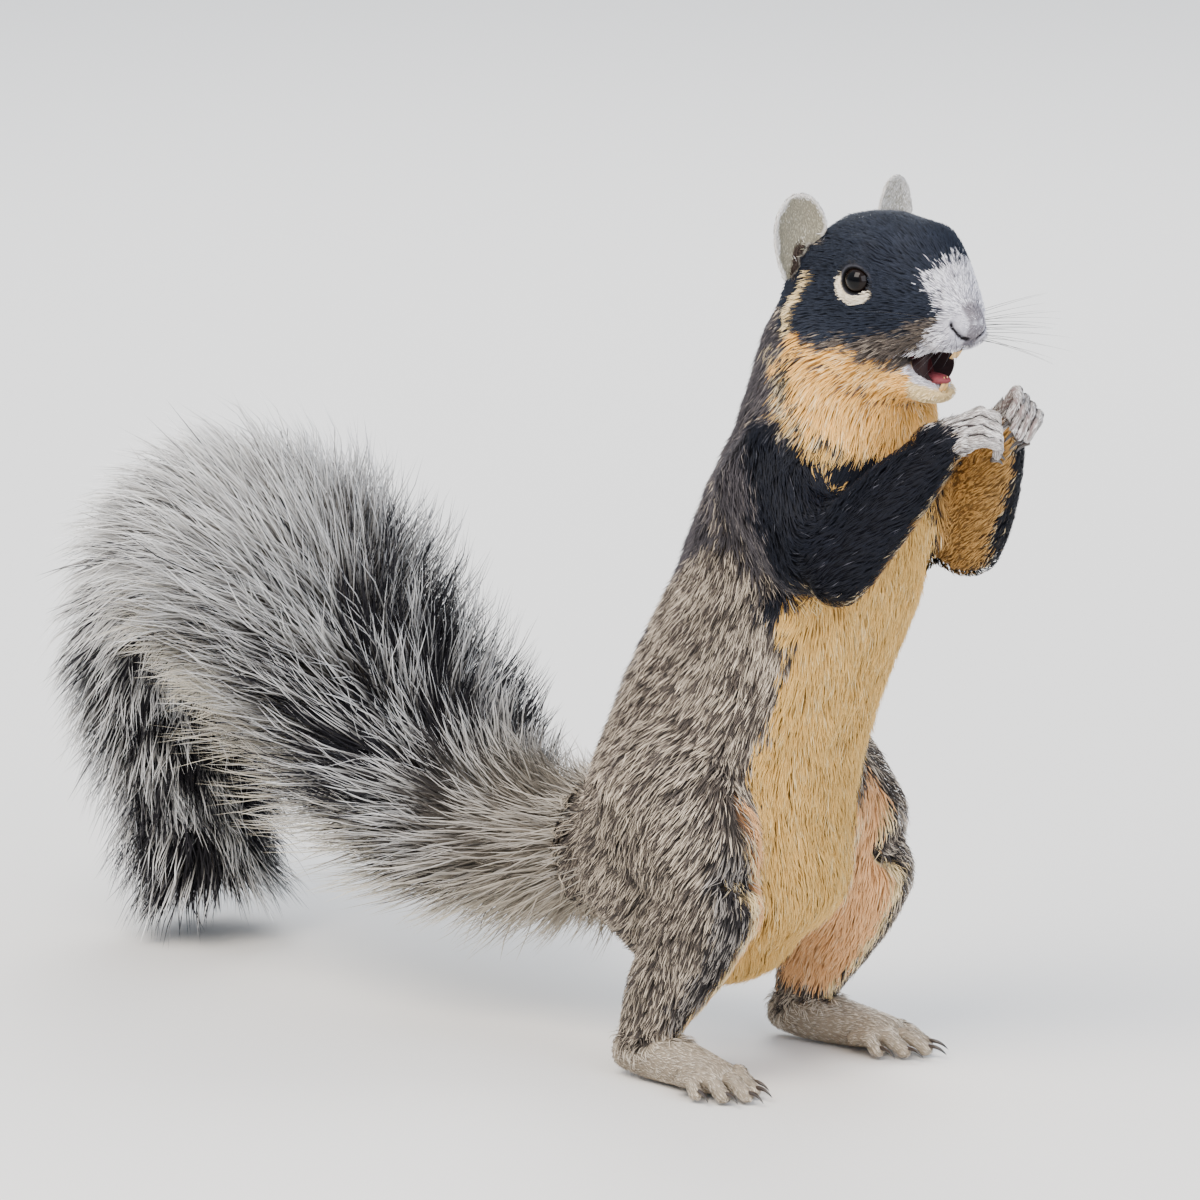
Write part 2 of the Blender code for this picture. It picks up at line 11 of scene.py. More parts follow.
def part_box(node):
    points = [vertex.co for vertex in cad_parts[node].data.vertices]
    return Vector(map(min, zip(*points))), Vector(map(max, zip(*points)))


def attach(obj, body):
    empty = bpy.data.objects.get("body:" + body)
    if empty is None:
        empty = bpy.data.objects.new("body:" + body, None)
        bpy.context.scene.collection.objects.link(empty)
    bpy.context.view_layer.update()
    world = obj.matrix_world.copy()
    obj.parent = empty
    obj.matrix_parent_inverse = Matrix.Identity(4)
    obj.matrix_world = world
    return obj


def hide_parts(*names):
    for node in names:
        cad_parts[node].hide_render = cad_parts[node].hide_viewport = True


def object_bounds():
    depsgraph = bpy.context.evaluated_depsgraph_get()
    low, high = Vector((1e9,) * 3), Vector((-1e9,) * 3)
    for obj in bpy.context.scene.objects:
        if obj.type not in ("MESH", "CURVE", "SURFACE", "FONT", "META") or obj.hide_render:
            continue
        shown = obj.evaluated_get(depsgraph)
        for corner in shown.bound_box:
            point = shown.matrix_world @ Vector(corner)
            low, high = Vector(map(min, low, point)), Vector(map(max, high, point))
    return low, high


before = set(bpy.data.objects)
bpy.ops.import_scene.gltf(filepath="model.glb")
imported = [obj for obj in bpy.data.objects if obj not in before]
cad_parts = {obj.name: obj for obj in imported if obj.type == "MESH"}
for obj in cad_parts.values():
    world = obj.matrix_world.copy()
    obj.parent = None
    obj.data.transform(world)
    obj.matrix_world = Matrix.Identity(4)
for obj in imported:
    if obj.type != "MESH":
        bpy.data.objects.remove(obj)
cadLow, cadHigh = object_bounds()

mm = 0.001
sides = {"right": -1, "left": 1}
chance = np.random.default_rng(11)


def middle(name):
    low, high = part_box(name)
    return np.array((low + high) / 2)


def tone(code):
    # a hex colour as linear numbers
    parts = np.array([int(code[i:i + 2], 16) / 255 for i in (1, 3, 5)])
    return np.where(parts <= 0.04045, parts / 12.92, ((parts + 0.055) / 1.055) ** 2.4)


def ramp(values, start, end):
    # 0 before start, 1 past end, and smooth between
    part = np.clip((values - start) / (end - start), 0, 1)
    return part * part * (3 - 2 * part)


def unit(vectors):
    return vectors / np.maximum(np.linalg.norm(vectors, axis=-1, keepdims=True), 1e-12)


def alongSurface(vectors, normals):
    return vectors - normals * np.sum(vectors * normals, axis=-1, keepdims=True)


def fromLine(points, start, end):
    # how far points lie from the straight line between two places
    along = end - start
    away = points - start
    part = np.clip(away @ along / max(along @ along, 1e-9), 0, 1)
    return np.linalg.norm(away - part[:, None] * along, axis=1)


def fromRoute(points, route):
    # the same for a line through several places
    return np.minimum.reduce([fromLine(points, *ends) for ends in zip(route[:-1], route[1:])])


def cloud(points, size, seed=0):
    # soft random values between 0 and 1 that change over about the given size
    scaled = points / size + 37.3 * (seed + 1)
    cell = np.floor(scaled).astype(np.int64)
    part = scaled - cell
    part = part * part * (3 - 2 * part)
    total = np.zeros(len(points))
    for corner in range(8):
        step = np.array([corner & 1, corner >> 1 & 1, corner >> 2 & 1])
        at = cell + step
        key = at[:, 0] * 73856093 ^ at[:, 1] * 19349663 ^ at[:, 2] * 83492791 ^ (seed + 5) * 2971215073
        key = (key ^ (key >> 13)) * 1274126177 & 0xFFFFFFFF
        key = (key ^ (key >> 16)) * 668265263 & 0xFFFFFFFF
        total += np.prod(np.where(step, part, 1 - part), axis=1) * key / 0xFFFFFFFF
    return total


def cloudVectors(points, size, seed=0):
    return np.stack([cloud(points, size, seed + 20 * k) for k in range(3)], axis=1) * 2 - 1


def smoothCurve(rows, count):
    # a Catmull-Rom curve through rows of numbers, at even steps of the row number
    rows = np.array(rows, float)
    padded = np.vstack([2 * rows[0] - rows[1], rows, 2 * rows[-1] - rows[-2]])
    places = np.linspace(0, len(rows) - 1, count)
    first = np.minimum(places.astype(int), len(rows) - 2)
    t = (places - first)[:, None]
    a, b, c, d = (padded[first + k] for k in range(4))
    bent = (2 * a - 5 * b + 4 * c - d) * t ** 2 + (3 * b - a - 3 * c + d) * t ** 3
    return 0.5 * (2 * b + (c - a) * t + bent)


def readAll(items, field, width, kind=np.float32):
    # one field of every vertex, edge or triangle, as rows of the given width
    values = np.empty(len(items) * width, kind)
    items.foreach_get(field, values)
    return values.reshape(-1, width)


def meshArrays(mesh):
    points = readAll(mesh.vertices, "co", 3).astype(float)
    normals = readAll(mesh.vertex_normals, "vector", 3).astype(float)
    return points, normals, readAll(mesh.edges, "vertices", 2, np.int32)


def meshTriangles(mesh):
    mesh.calc_loop_triangles()
    return readAll(mesh.loop_triangles, "vertices", 3, np.int32)


def areaOf(corners):
    first, second = corners[:, 1] - corners[:, 0], corners[:, 2] - corners[:, 0]
    return np.linalg.norm(np.cross(first, second), axis=1) / 2


def relaxed(values, edges, rounds):
    # evens values out over a mesh, half the way to the neighbours' mean in each round
    values = values.copy()
    a, b = edges[:, 0], edges[:, 1]
    size = len(values)
    count = np.maximum(np.bincount(a, minlength=size) + np.bincount(b, minlength=size), 1)
    for _ in range(rounds):
        for k in range(values.shape[1]):
            column = values[:, k]
            total = np.bincount(a, column[b], size) + np.bincount(b, column[a], size)
            values[:, k] = column + 0.5 * (total / count - column)
    return values


def placed(name, data):
    holder = bpy.data.objects.new(name, data)
    bpy.context.collection.objects.link(holder)
    return holder


def finished(holder):
    # the mesh of an object after its modifiers, with the object itself gone
    made = bpy.data.meshes.new_from_object(holder.evaluated_get(bpy.context.evaluated_depsgraph_get()))
    bpy.data.objects.remove(holder)
    return made


def movePoints(mesh, points):
    mesh.vertices.foreach_set("co", points.astype(np.float32).ravel())
    mesh.update()


def ringFaces(rings, corners, flip=False):
    # quads between rings of points, each ring closed on itself
    faces = []
    for i in range(rings):
        for k in range(corners):
            a, b = i * corners + k, i * corners + (k + 1) % corners
            quad = (a, a + corners, b + corners, b)
            faces.append(quad[::-1] if flip else quad)
    return faces


def makeObject(name, points, faces, sizes=None):
    # with sizes, faces is one flat run of corners, and sizes says how many each face takes
    mesh = bpy.data.meshes.new(name)
    if sizes is None:
        sizes = np.full(len(faces), len(faces[0]), np.int32)
        faces = np.array(faces, np.int32).ravel()
    starts = np.concatenate([[0], np.cumsum(sizes)[:-1]]).astype(np.int32)
    mesh.vertices.add(len(points))
    mesh.vertices.foreach_set("co", np.asarray(points, np.float32).ravel())
    mesh.loops.add(len(faces))
    mesh.loops.foreach_set("vertex_index", faces.astype(np.int32))
    mesh.polygons.add(len(sizes))
    mesh.polygons.foreach_set("loop_start", starts)
    mesh.update(calc_edges=True)
    mesh.shade_smooth()
    return placed(name, mesh)


def settle(piece, finish, slotName, *nodes):
    # hands a finished piece over to the frame
    piece.data.materials.clear()
    piece.data.materials.append(finish)
    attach(piece, "root")
    if nodes:
        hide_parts(*nodes)
    return piece


def colourPoints(piece, tones):
    layer = piece.data.color_attributes.new("coatTone", "FLOAT_COLOR", "POINT")
    filled = np.ones((len(tones), 4), np.float32)
    filled[:, :3] = tones
    layer.data.foreach_set("color", filled.ravel())


def tube(route, radii, corners):
    # points and triangles of a tube along a route, radii one or two (sideways, upwards) to a ring
    route = np.asarray(route, float)
    radii = np.asarray(radii, float).reshape(len(route), -1)
    ahead = unit(np.gradient(route, axis=0))
    side = unit(np.cross(ahead, np.array([0.13, 0.21, 0.97])))
    up = np.cross(side, ahead)
    turn = 2 * math.pi * np.arange(corners) / corners
    circle = np.cos(turn)[None, :, None] * (side * radii[:, :1])[:, None, :]
    circle = circle + np.sin(turn)[None, :, None] * (up * radii[:, -1:])[:, None, :]
    rings = route[:, None, :] + circle
    points = np.vstack([rings.reshape(-1, 3), route[:1], route[-1:]])
    faces = []
    last = len(route) - 1
    for i in range(last):
        for k in range(corners):
            a, b = i * corners + k, i * corners + (k + 1) % corners
            faces += [(a, b + corners, b), (a, a + corners, b + corners)]
    start, end = len(points) - 2, len(points) - 1
    for k in range(corners):
        faces.append((start, k, (k + 1) % corners))
        faces.append((end, last * corners + (k + 1) % corners, last * corners + k))
    return points, faces


def limb(rows, count=14, corners=14):
    # a tube with round ends through rows of place and radius, in mm
    curve = smoothCurve(rows, count)
    route, radii = curve[:, :3], curve[:, 3:]
    for end, inner in ((0, 1), (-1, -2)):
        way = unit(route[end] - route[inner]) * radii[end].min()
        cap = np.array([route[end] + way * out for out in (0.5, 0.86, 1.0)])
        thin = np.array([radii[end] * share for share in (0.87, 0.5, 0.1)])
        if end == 0:
            route, radii = np.vstack([cap[::-1], route]), np.vstack([thin[::-1], radii])
        else:
            route, radii = np.vstack([route, cap]), np.vstack([radii, thin])
    return tube(route * mm, radii * mm, corners)


def addShape(shape, points, faces):
    corners = [shape.verts.new(point) for point in points]
    for face in faces:
        shape.faces.new([corners[i] for i in face])


camera = {
    "azimuth": 42, "elevation": 12, "distance": 6.0, "viewWidth": 0.390,
    "aim": (0.0431, -0.016, 0.0006),  # from the middle of the model's box
}


def placeCamera():
    turn, tilt = math.radians(camera["azimuth"]), math.radians(camera["elevation"])
    back = Vector((math.sin(turn) * math.cos(tilt), -math.cos(turn) * math.cos(tilt), math.sin(tilt)))
    data = bpy.data.cameras.new("camera")
    data.sensor_width = 36
    data.lens = 36 * camera["distance"] / camera["viewWidth"]
    data.clip_end = 60
    eye = placed("camera", data)
    eye.location = (cadLow + cadHigh) / 2 + Vector(camera["aim"]) + back * camera["distance"]
    eye.rotation_euler = (-back).to_track_quat("-Z", "Y").to_euler()
    bpy.context.scene.camera = eye


studio = {
    "floor": "#e6e3de", "floorSize": 12, "floorTop": -0.0002,
    "sky": "#dde7f6", "skyStrength": (0.75, 1.7),  # at the horizon and overhead
    # place, size in metres and power in watts of each soft light
    "key": ((0.25, -1.3, 1.7), 1.2, 62, "#fff5e8"),
    "fill": ((1.6, -0.5, 0.8), 1.2, 22, "#f2f5ff"),
    "rim": ((-0.9, 1.2, 1.3), 1.0, 28, "#ffffff"),
}


def placeStudio():
    size, top = studio["floorSize"], studio["floorTop"]
    corners = [(x * size, y * size, top) for x, y in ((-1, -1), (1, -1), (1, 1), (-1, 1))]
    floor = makeObject("floor", corners, [(0, 1, 2, 3)])
    finish = bpy.data.materials.new("paleFloor")
    finish.use_nodes = True
    shader = finish.node_tree.nodes["Principled BSDF"]
    shader.inputs["Base Color"].default_value = (*tone(studio["floor"]), 1)
    shader.inputs["Roughness"].default_value = 0.9
    floor.data.materials.append(finish)
    aim = Vector((0, 0, 0.15))
    for name in ("key", "fill", "rim"):
        place, width, power, tint = studio[name]
        light = bpy.data.lights.new(name, "AREA")
        light.size = width
        light.energy = power
        light.color = tone(tint)
        holder = placed(name, light)
        holder.location = place
        holder.rotation_euler = (aim - Vector(place)).to_track_quat("-Z", "Y").to_euler()
    world = bpy.data.worlds.new("studio")
    world.use_nodes = True
    nodes, links = world.node_tree.nodes, world.node_tree.links
    ground = nodes["Background"]
    ground.inputs["Color"].default_value = (*tone(studio["sky"]), 1)
    way = nodes.new("ShaderNodeTexCoord")
    split = nodes.new("ShaderNodeSeparateXYZ")
    rise = nodes.new("ShaderNodeMapRange")
    rise.inputs["From Min"].default_value = 0.1
    rise.inputs["From Max"].default_value = 0.9
    rise.inputs["To Min"].default_value, rise.inputs["To Max"].default_value = studio["skyStrength"]
    links.new(way.outputs["Generated"], split.inputs["Vector"])
    links.new(split.outputs["Z"], rise.inputs["Value"])
    links.new(rise.outputs["Result"], ground.inputs["Strength"])
    bpy.context.scene.world = world


placeCamera()
placeStudio()
print("studio ready")

eyeMiddle = (middle("eye_right") + middle("eye_left")) / 2
noseTip = middle("nose")
headAhead = unit((noseTip - eyeMiddle) * np.array([1, 1, 0]))
headLeft = np.array([-headAhead[1], headAhead[0], 0])
headUp = np.array([0, 0, 1.0])
eyeLow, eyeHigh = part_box("eye_right")
eyeRadius = max(eyeHigh - eyeLow) / 2
bodyMiddle = middle("chest")[1] / mm


def headPlace(points):
    # millimetres ahead of, left of and above the point midway between the eyes
    away = (points - eyeMiddle) / mm
    return away @ headAhead, away @ headLeft, away @ headUp


def fromHead(ahead, left, up):
    return eyeMiddle + (headAhead * ahead + headLeft * left + headUp * up) * mm


def reachFrom(points, centre, half):
    # distance from a centre on the head as a share of half sizes ahead, left and up, all in mm
    return np.linalg.norm((np.stack(headPlace(points), axis=1) - centre) / half, axis=1)


# How the coat lies on each part of the body, in mm: its depth over the skin, the length and width of a
# lock, locks on each square mm, and the way the hair points (forwards, outwards, up).
coat = {
    "head": (1.9, 4.4, 0.29, 2.45, (-1, 0.1, -0.1)),
    "nose": (0.25, 1.5, 0.17, 9.0, (-1, 0.1, 0)),
    "eye": (0.9, 1.9, 0.22, 5.0, (-1, 0, 0)),
    "lower_jaw": (0.8, 2.4, 0.22, 4.5, (-1, 0.2, -0.3)),
    "ear": (0.3, 1.5, 0.24, 2.8, (-0.1, 0.1, 1)),
    "neck": (3.4, 8.5, 0.33, 2.35, (-0.35, 0.05, -0.94)),
    "chest": (4.0, 9.5, 0.36, 1.95, (-0.35, 0, -0.94)),
    "abdomen": (4.3, 9.5, 0.37, 1.85, (-0.5, 0.05, -0.85)),
    "hips": (4.4, 9.5, 0.38, 1.65, (-0.8, 0.1, -0.6)),
    "upper_arm": (3.0, 8.5, 0.36, 1.3, (0.5, 0.15, -0.75)),
    "forearm": (1.9, 6.0, 0.32, 1.6, (0.72, -0.3, 0.5)),
    "hand": (0.4, 3.2, 0.2, 4.2, (0.9, -0.3, 0.3)),
    "thigh": (3.9, 9.0, 0.38, 1.3, (-0.4, 0.05, -0.9)),
    "shank": (2.7, 7.5, 0.36, 1.45, (-0.4, 0.05, -0.9)),
    "foot": (0.45, 3.0, 0.26, 1.5, (0.98, 0.12, -0.1)),
    "tail": (5.0, 12, 0.45, 1.6, (-1, 0, 0.1)),
}
partNames = list(coat)


def partOf(node):
    return next(i for i, name in enumerate(partNames) if node.startswith(name))


def shareOf(shares, *names):
    return sum(shares[:, partNames.index(name)] for name in names)


earNodes = ["ear_right", "ear_left"]
apart = ("claw", "incisors", "eye", "tail", "ear")
fleshNodes = [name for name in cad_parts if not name.startswith(apart)]

skinLook = {
    "voxel": 0.8 * mm, "pawVoxel": 0.4 * mm, "earVoxel": 0.5 * mm,
    "join": 0.34 * mm,  # each solid grows by this, so that neighbours meet
    "bodyShare": 0.28,  # share of the faces kept where the coat is deep
    "lowest": 0.15 * mm,  # the soles' height over the floor
}

# The tail's bone: forwards, left, up, and how far its hair reaches across and along the fold, in mm.
tail = {
    "bone": [
        (56, -1, 66, 23, 24), (28, -1, 63, 26, 28), (2, -1, 60, 30, 33), (-26, -1, 64, 36, 41),
        (-56, -1, 80, 44, 50), (-88, 0, 111, 49, 55), (-108, 1, 130, 48.5, 55), (-130, 4, 139, 47, 53),
        (-153, 9, 132, 43, 49), (-170, 13, 114, 39, 45), (-177, 16, 88, 35, 41), (-175, 19, 55, 31, 37),
        (-167, 20, 26, 25, 31),
    ],
    "core": 6.5, "coreEnd": 3.0,  # radius of the tail's flesh at its root and its end
}

# Where the bones of the paws run, in mm: wrist, knuckles and fingertips, and the way the fingers spread.
paws = {
    "hand_right": ((191.5, -16.4, 223.0), (204.5, -11.4, 228.0), (204.5, -5.4, 220.5), (-0.36, 0.4, 0.75)),
    "hand_left": ((191.5, 13.6, 224.0), (206.0, 8.1, 233.0), (205.5, 2.6, 224.0), (-0.5, -0.35, 0.7)),
    "fingers": [(-5.0, 0.9), (-1.7, 1.05), (1.7, 1.0), (5.0, 0.8)],  # across, share of the full length
    # forwards, outwards, up, half width, half depth
    "sole": [(76.5, 38, 8, 5.4, 6.4), (86.5, 38, 8.6, 6.9, 8.4), (102.5, 39.5, 7.4, 7.9, 7.4),
             (118, 41.8, 6, 9.6, 5.6)],
    # across, length, radius
    "toes": [(-9.0, 11, 2.3), (-4.8, 16, 2.55), (0.0, 17.5, 2.65), (4.8, 16, 2.55), (9.0, 10, 2.3)],
    "ball": (119.5, 42, 0), "splay": 8,
}


def handBones(name):
    # the lines of place and radius of the palm and fingers of one hand
    wrist, knuckles, tips, spread = (np.array(row, float) for row in paws[name])
    spread = unit(spread)
    forwards = unit(knuckles - wrist)
    inwards = np.array([0, 1.0 if name.endswith("right") else -1.0, 0])
    bones = [[(*(wrist + forwards * far), radius) for far, radius in ((-6, 4.4), (3, 3.8), (9, 2.9))]]
    for across, share in paws["fingers"]:
        start = wrist - forwards * 1 + spread * across * 0.5
        base = knuckles - forwards * 2 + spread * across
        end = knuckles + (tips - knuckles) * share + spread * across * 0.86
        bend = (base + end) / 2 + (forwards + unit(knuckles - tips) * 0.2) * 3.0
        bones.append([(*start, 2.2), (*((start + base) / 2), 1.95), (*base, 1.95)])
        bones.append([(*base, 1.9), (*(base * 0.55 + bend * 0.45), 1.5), (*bend, 1.62),
                      (*(bend * 0.5 + end * 0.5), 1.25), (*end, 1.3)])
    thumb = wrist + forwards * 6 - spread * 5 + inwards * 1.5
    bones.append([(*(thumb + forwards * far), radius) for far, radius in ((-3, 2.2), (1.5, 1.7), (4, 1.2))])
    return bones


def footBones(side):
    # the sole and the toes of one foot, flat on the floor
    flip = np.array([1, sides[side], 1])
    shift = np.array([0, bodyMiddle, 0])
    sole = [(*(np.array(row[:3]) * flip + shift), *row[3:]) for row in paws["sole"]]
    bones = [sole]
    turn = math.radians(paws["splay"])
    for across, length, radius in paws["toes"]:
        angle = turn + math.radians(across * 1.2)
        along = np.array([math.cos(angle), math.sin(angle), 0])
        x, y = -4 - abs(across) * 0.5, across
        turned = (x * math.cos(turn) - y * math.sin(turn), x * math.sin(turn) + y * math.cos(turn))
        base = np.array(paws["ball"], float) + np.array([*turned, 5.2])
        joint = base + along * length * 0.6 + np.array([0, 0, 1.1])
        end = base + along * length + np.array([0, 0, -2.4])
        rows = [(base, radius), (base + (joint - base) * 0.55, radius * 0.86), (joint, radius * 1.02),
                (joint * 0.5 + end * 0.5, radius * 0.86), (end, radius * 0.9)]
        bones.append([(*(place * flip + shift), size) for place, size in rows])
    return bones


def evenMesh(shape, voxel, name):
    mesh = bpy.data.meshes.new(name)
    shape.to_mesh(mesh)
    shape.free()
    holder = placed(name, mesh)
    step = holder.modifiers.new("even", "REMESH")
    step.mode = "VOXEL"
    step.voxel_size = voxel
    step.adaptivity = 0
    return finished(holder)


def solidsOf(names, grow):
    shape = bmesh.new()
    for name in names:
        shape.from_mesh(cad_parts[name].data)
    bmesh.ops.remove_doubles(shape, verts=shape.verts, dist=1e-5)
    bmesh.ops.recalc_face_normals(shape, faces=shape.faces)
    shape.normal_update()
    for vert, normal in [(v, v.normal.copy()) for v in shape.verts]:
        vert.co += normal * grow
    return shape


def makeGuide():
    # points scattered over the solids, each with the part it belongs to, for reading the coat's values
    places, parts = [], []
    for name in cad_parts:
        if name.startswith(("claw", "incisors")):
            continue
        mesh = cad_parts[name].data
        points = meshArrays(mesh)[0][meshTriangles(mesh)]
        area = areaOf(points)
        count = int(max(60, area.sum() / (2.4 * mm) ** 2))
        face = chance.choice(len(points), count, p=area / area.sum())
        mix = chance.dirichlet((1, 1, 1), count)
        places.append(np.einsum("nk,nkd->nd", mix, points[face]))
        parts.append(np.full(count, partOf(name)))
    places, parts = np.vstack(places), np.concatenate(parts)
    tree = KDTree(len(places))
    for i, place in enumerate(places):
        tree.insert(place, i)
    tree.balance()
    return tree, parts


def partShares(points, guide, near=8):
    # how much of each part of the body a point belongs to
    tree, parts = guide
    shares = np.zeros((len(points), len(partNames)))
    for i, point in enumerate(points):
        for _, index, distance in tree.find_n(point, near):
            shares[i, parts[index]] += 1 / (distance + 0.5 * mm) ** 2
    return shares / shares.sum(axis=1, keepdims=True)


def valueOf(shares, column):
    return shares @ np.array([coat[name][column] for name in partNames])


# The open mouth, in mm from the eyes' middle: ahead, the line between the jaws, and half the gap.
mouth = {
    "lining": (9.8, 5.6, 5.6),  # half sizes of the room that the lining fills
    "ahead": (12.9, 20.4, 34.4), "line": (-24.8, -27.8, -27.7), "half": (0.9, 5.0, 6.0),
    # the comma of a nostril: out from the middle, and up
    "nostril": [(7.4, -11.6), (7.2, -13.2), (6.0, -15.0), (4.2, -16.3), (2.0, -17.0)],
}


def mouthGap(points):
    # how deep a point is inside the open mouth: 0 outside, 1 well inside
    ahead, left, up = headPlace(points)
    line = np.interp(ahead, mouth["ahead"], mouth["line"])
    half = np.interp(ahead, mouth["ahead"], mouth["half"]) + 0.9
    inside = ramp(half - np.abs(up - line), -0.6, 0.6) * ramp(ahead, 9, 12)
    return inside * ramp(10.5 - np.abs(left), 0, 1.5)


def nostrilCover(points, width=0.75):
    # 1 inside the slits of the nostrils and the groove down to the lip
    ahead, left, up = headPlace(points)
    out = np.abs(left)
    near = fromRoute(np.stack([out, up], axis=1), np.array(mouth["nostril"]))
    slit = ramp(near, width, width * 0.4)
    groove = ramp(out, 0.65, 0.2) * ramp(up, -16.2, -17.2)
    return np.maximum(slit, 0.8 * groove) * ramp(ahead, 26, 28)


# Forms of the face, in mm from the eyes' middle: middle ahead and up, half size ahead and up, where each
# starts and is full outwards, and how far it stands out.
faceForms = {
    "brow": (1, 9, 7, 3.2, 8, 14, 0.7),
    "hollow": (10.5, -0.5, 3.5, 3.5, 7, 11, -0.9),
    "whiskerPad": (25, -17, 5, 3.6, 2, 6, 0.5),
    "lip": (16, -23, 7, 2.0, 3, 6, 0.5),
}
nostrilDepth = 0.9


def shapeFace(points, normals):
    ahead, left, up = headPlace(points)
    rise = np.zeros(len(points))
    for x, z, halfX, halfZ, start, full, height in faceForms.values():
        form = np.exp(-((ahead - x) / halfX) ** 2 - ((up - z) / halfZ) ** 2) * ramp(np.abs(left), start, full)
        rise = rise + height * form
    rise = rise - nostrilDepth * nostrilCover(points, 0.9)
    return points + normals * rise[:, None] * mm


def makeSkin(guide):
    names = [name for name in fleshNodes if not name.startswith(("hand", "foot"))]
    shape = solidsOf(names, skinLook["join"])
    bone = smoothCurve(tail["bone"], 60)
    radii = np.linspace(tail["core"], tail["coreEnd"], 60) + coat["tail"][0]
    addShape(shape, *tube(bone[:-4, :3] * mm, radii[:-4] * mm, 14))
    mesh = evenMesh(shape, skinLook["voxel"], "bodyShape")
    points, normals, edges = meshArrays(mesh)
    points = relaxed(points, edges, 6)
    shares = partShares(points, guide, 4)
    depth = relaxed(valueOf(shares, 0)[:, None], edges, 40)
    depth *= 1 - 0.6 * ramp(eyePlace(points)[0], 3.0, 1.5)[:, None]
    normals = unit(relaxed(normals, edges, 12))
    ground = ramp(points[:, 2] / mm, 1.0, 6.0)[:, None]
    points = points - normals * depth * (0.25 + 0.75 * ground) * mm
    points = relaxed(points, edges, 5)
    points = shapeFace(points, normals)
    points[:, 2] = np.maximum(points[:, 2], skinLook["lowest"])
    movePoints(mesh, points)
    body = placed("body", mesh)
    fine = shares[:, [partNames.index(n) for n in ("head", "nose", "eye", "lower_jaw", "ear")]]
    deep = 1 - ramp(fine.sum(axis=1), 0.2, 0.6)
    group = body.vertex_groups.new(name="deep")
    for level in (0.0, 0.5, 1.0):
        chosen = np.nonzero(np.abs(deep - level) <= 0.25 + 1e-9)[0]
        group.add(chosen.tolist(), level, "REPLACE")
    step = body.modifiers.new("lighter", "DECIMATE")
    step.ratio = skinLook["bodyShare"]
    step.vertex_group = "deep"
    step.vertex_group_factor = 4
    lighter = finished(body)
    print("skin body", len(mesh.polygons), "->", len(lighter.polygons))
    return lighter


lids = {
    "segments": 64,
    "length": 4.7, "height": 4.05,  # half the eye's opening, in mm
    # rings of the lid: reach as a share of the opening, and height over its edge in mm
    "profile": [(0.97, -0.35), (0.99, 0.25), (1.07, 0.62), (1.2, 0.72), (1.38, 0.5), (1.62, -0.05),
                (1.95, -1.2), (2.4, -3.4)],
    "axis": (0.16, 1.0, 0.12),  # ahead, outwards, up
    "corners": (0.10, 0.05),  # how far the front and the rear corner are drawn out
    "dip": 0.5, "droop": 0.05,  # how much lower the front corner lies, in mm, and the upper lid's edge
    # folds over and under the eye: reach, width as a share of the opening, and height in mm
    "hood": (1.3, 0.25, 0.35), "pouch": (1.6, 0.3, 0.5),
}


def eyeAxes(side):
    ahead, out, up = lids["axis"]
    axis = unit(headAhead * ahead + headLeft * sides[side] * out + headUp * up)
    forward = unit(headAhead - axis * np.dot(headAhead, axis))
    return axis, forward, np.cross(forward, axis) * sides[side]


def eyePlace(points):
    # reach from the nearer eye as a share of its opening, and the turn round it (0 ahead, 90 above)
    reach, turn = np.full(len(points), 99.0), np.zeros(len(points))
    for side in sides:
        axis, forward, rise = eyeAxes(side)
        away = (points - middle("eye_" + side)) / mm
        along, over = away @ forward / lids["length"], away @ rise / lids["height"]
        distance = np.where(away @ axis > -6, np.hypot(along, over), 99)
        closer = distance < reach
        reach = np.where(closer, distance, reach)
        turn = np.where(closer, np.degrees(np.arctan2(over, along)), turn)
    return reach, turn % 360


def makeLids(side):
    axis, forward, rise = eyeAxes(side)
    centre = middle("eye_" + side)
    count = lids["segments"]
    radius = eyeRadius / mm
    front, rear = lids["corners"]
    points = []
    for reach, height in lids["profile"]:
        for k in range(count):
            turn = 2 * math.pi * k / count
            level, rising = math.cos(turn), math.sin(turn)
            corner = front * max(0, level) ** 8 + rear * max(0, -level) ** 8
            upper, lower = max(0, rising) ** 2, max(0, -rising) ** 2
            wide = reach + corner * (1.6 - min(reach, 1.6))
            wide -= lids["droop"] * upper * (1.3 - min(reach, 1.3)) / 0.3
            along, over = level * lids["length"] * wide, rising * lids["height"] * wide
            over -= lids["dip"] * max(0, level) ** 6
            flat = (level * lids["length"]) ** 2 + (rising * lids["height"]) ** 2
            edge = math.sqrt(max(radius ** 2 - flat, 0.5))
            bulge = 0
            for share, (at, width, tall) in ((upper, lids["hood"]), (lower, lids["pouch"])):
                bulge += tall * share * math.exp(-((reach - at) / width) ** 2)
            points.append(centre + (forward * along + rise * over + axis * (edge + height + bulge)) * mm)
    return points, ringFaces(len(lids["profile"]) - 1, count, side == "left")


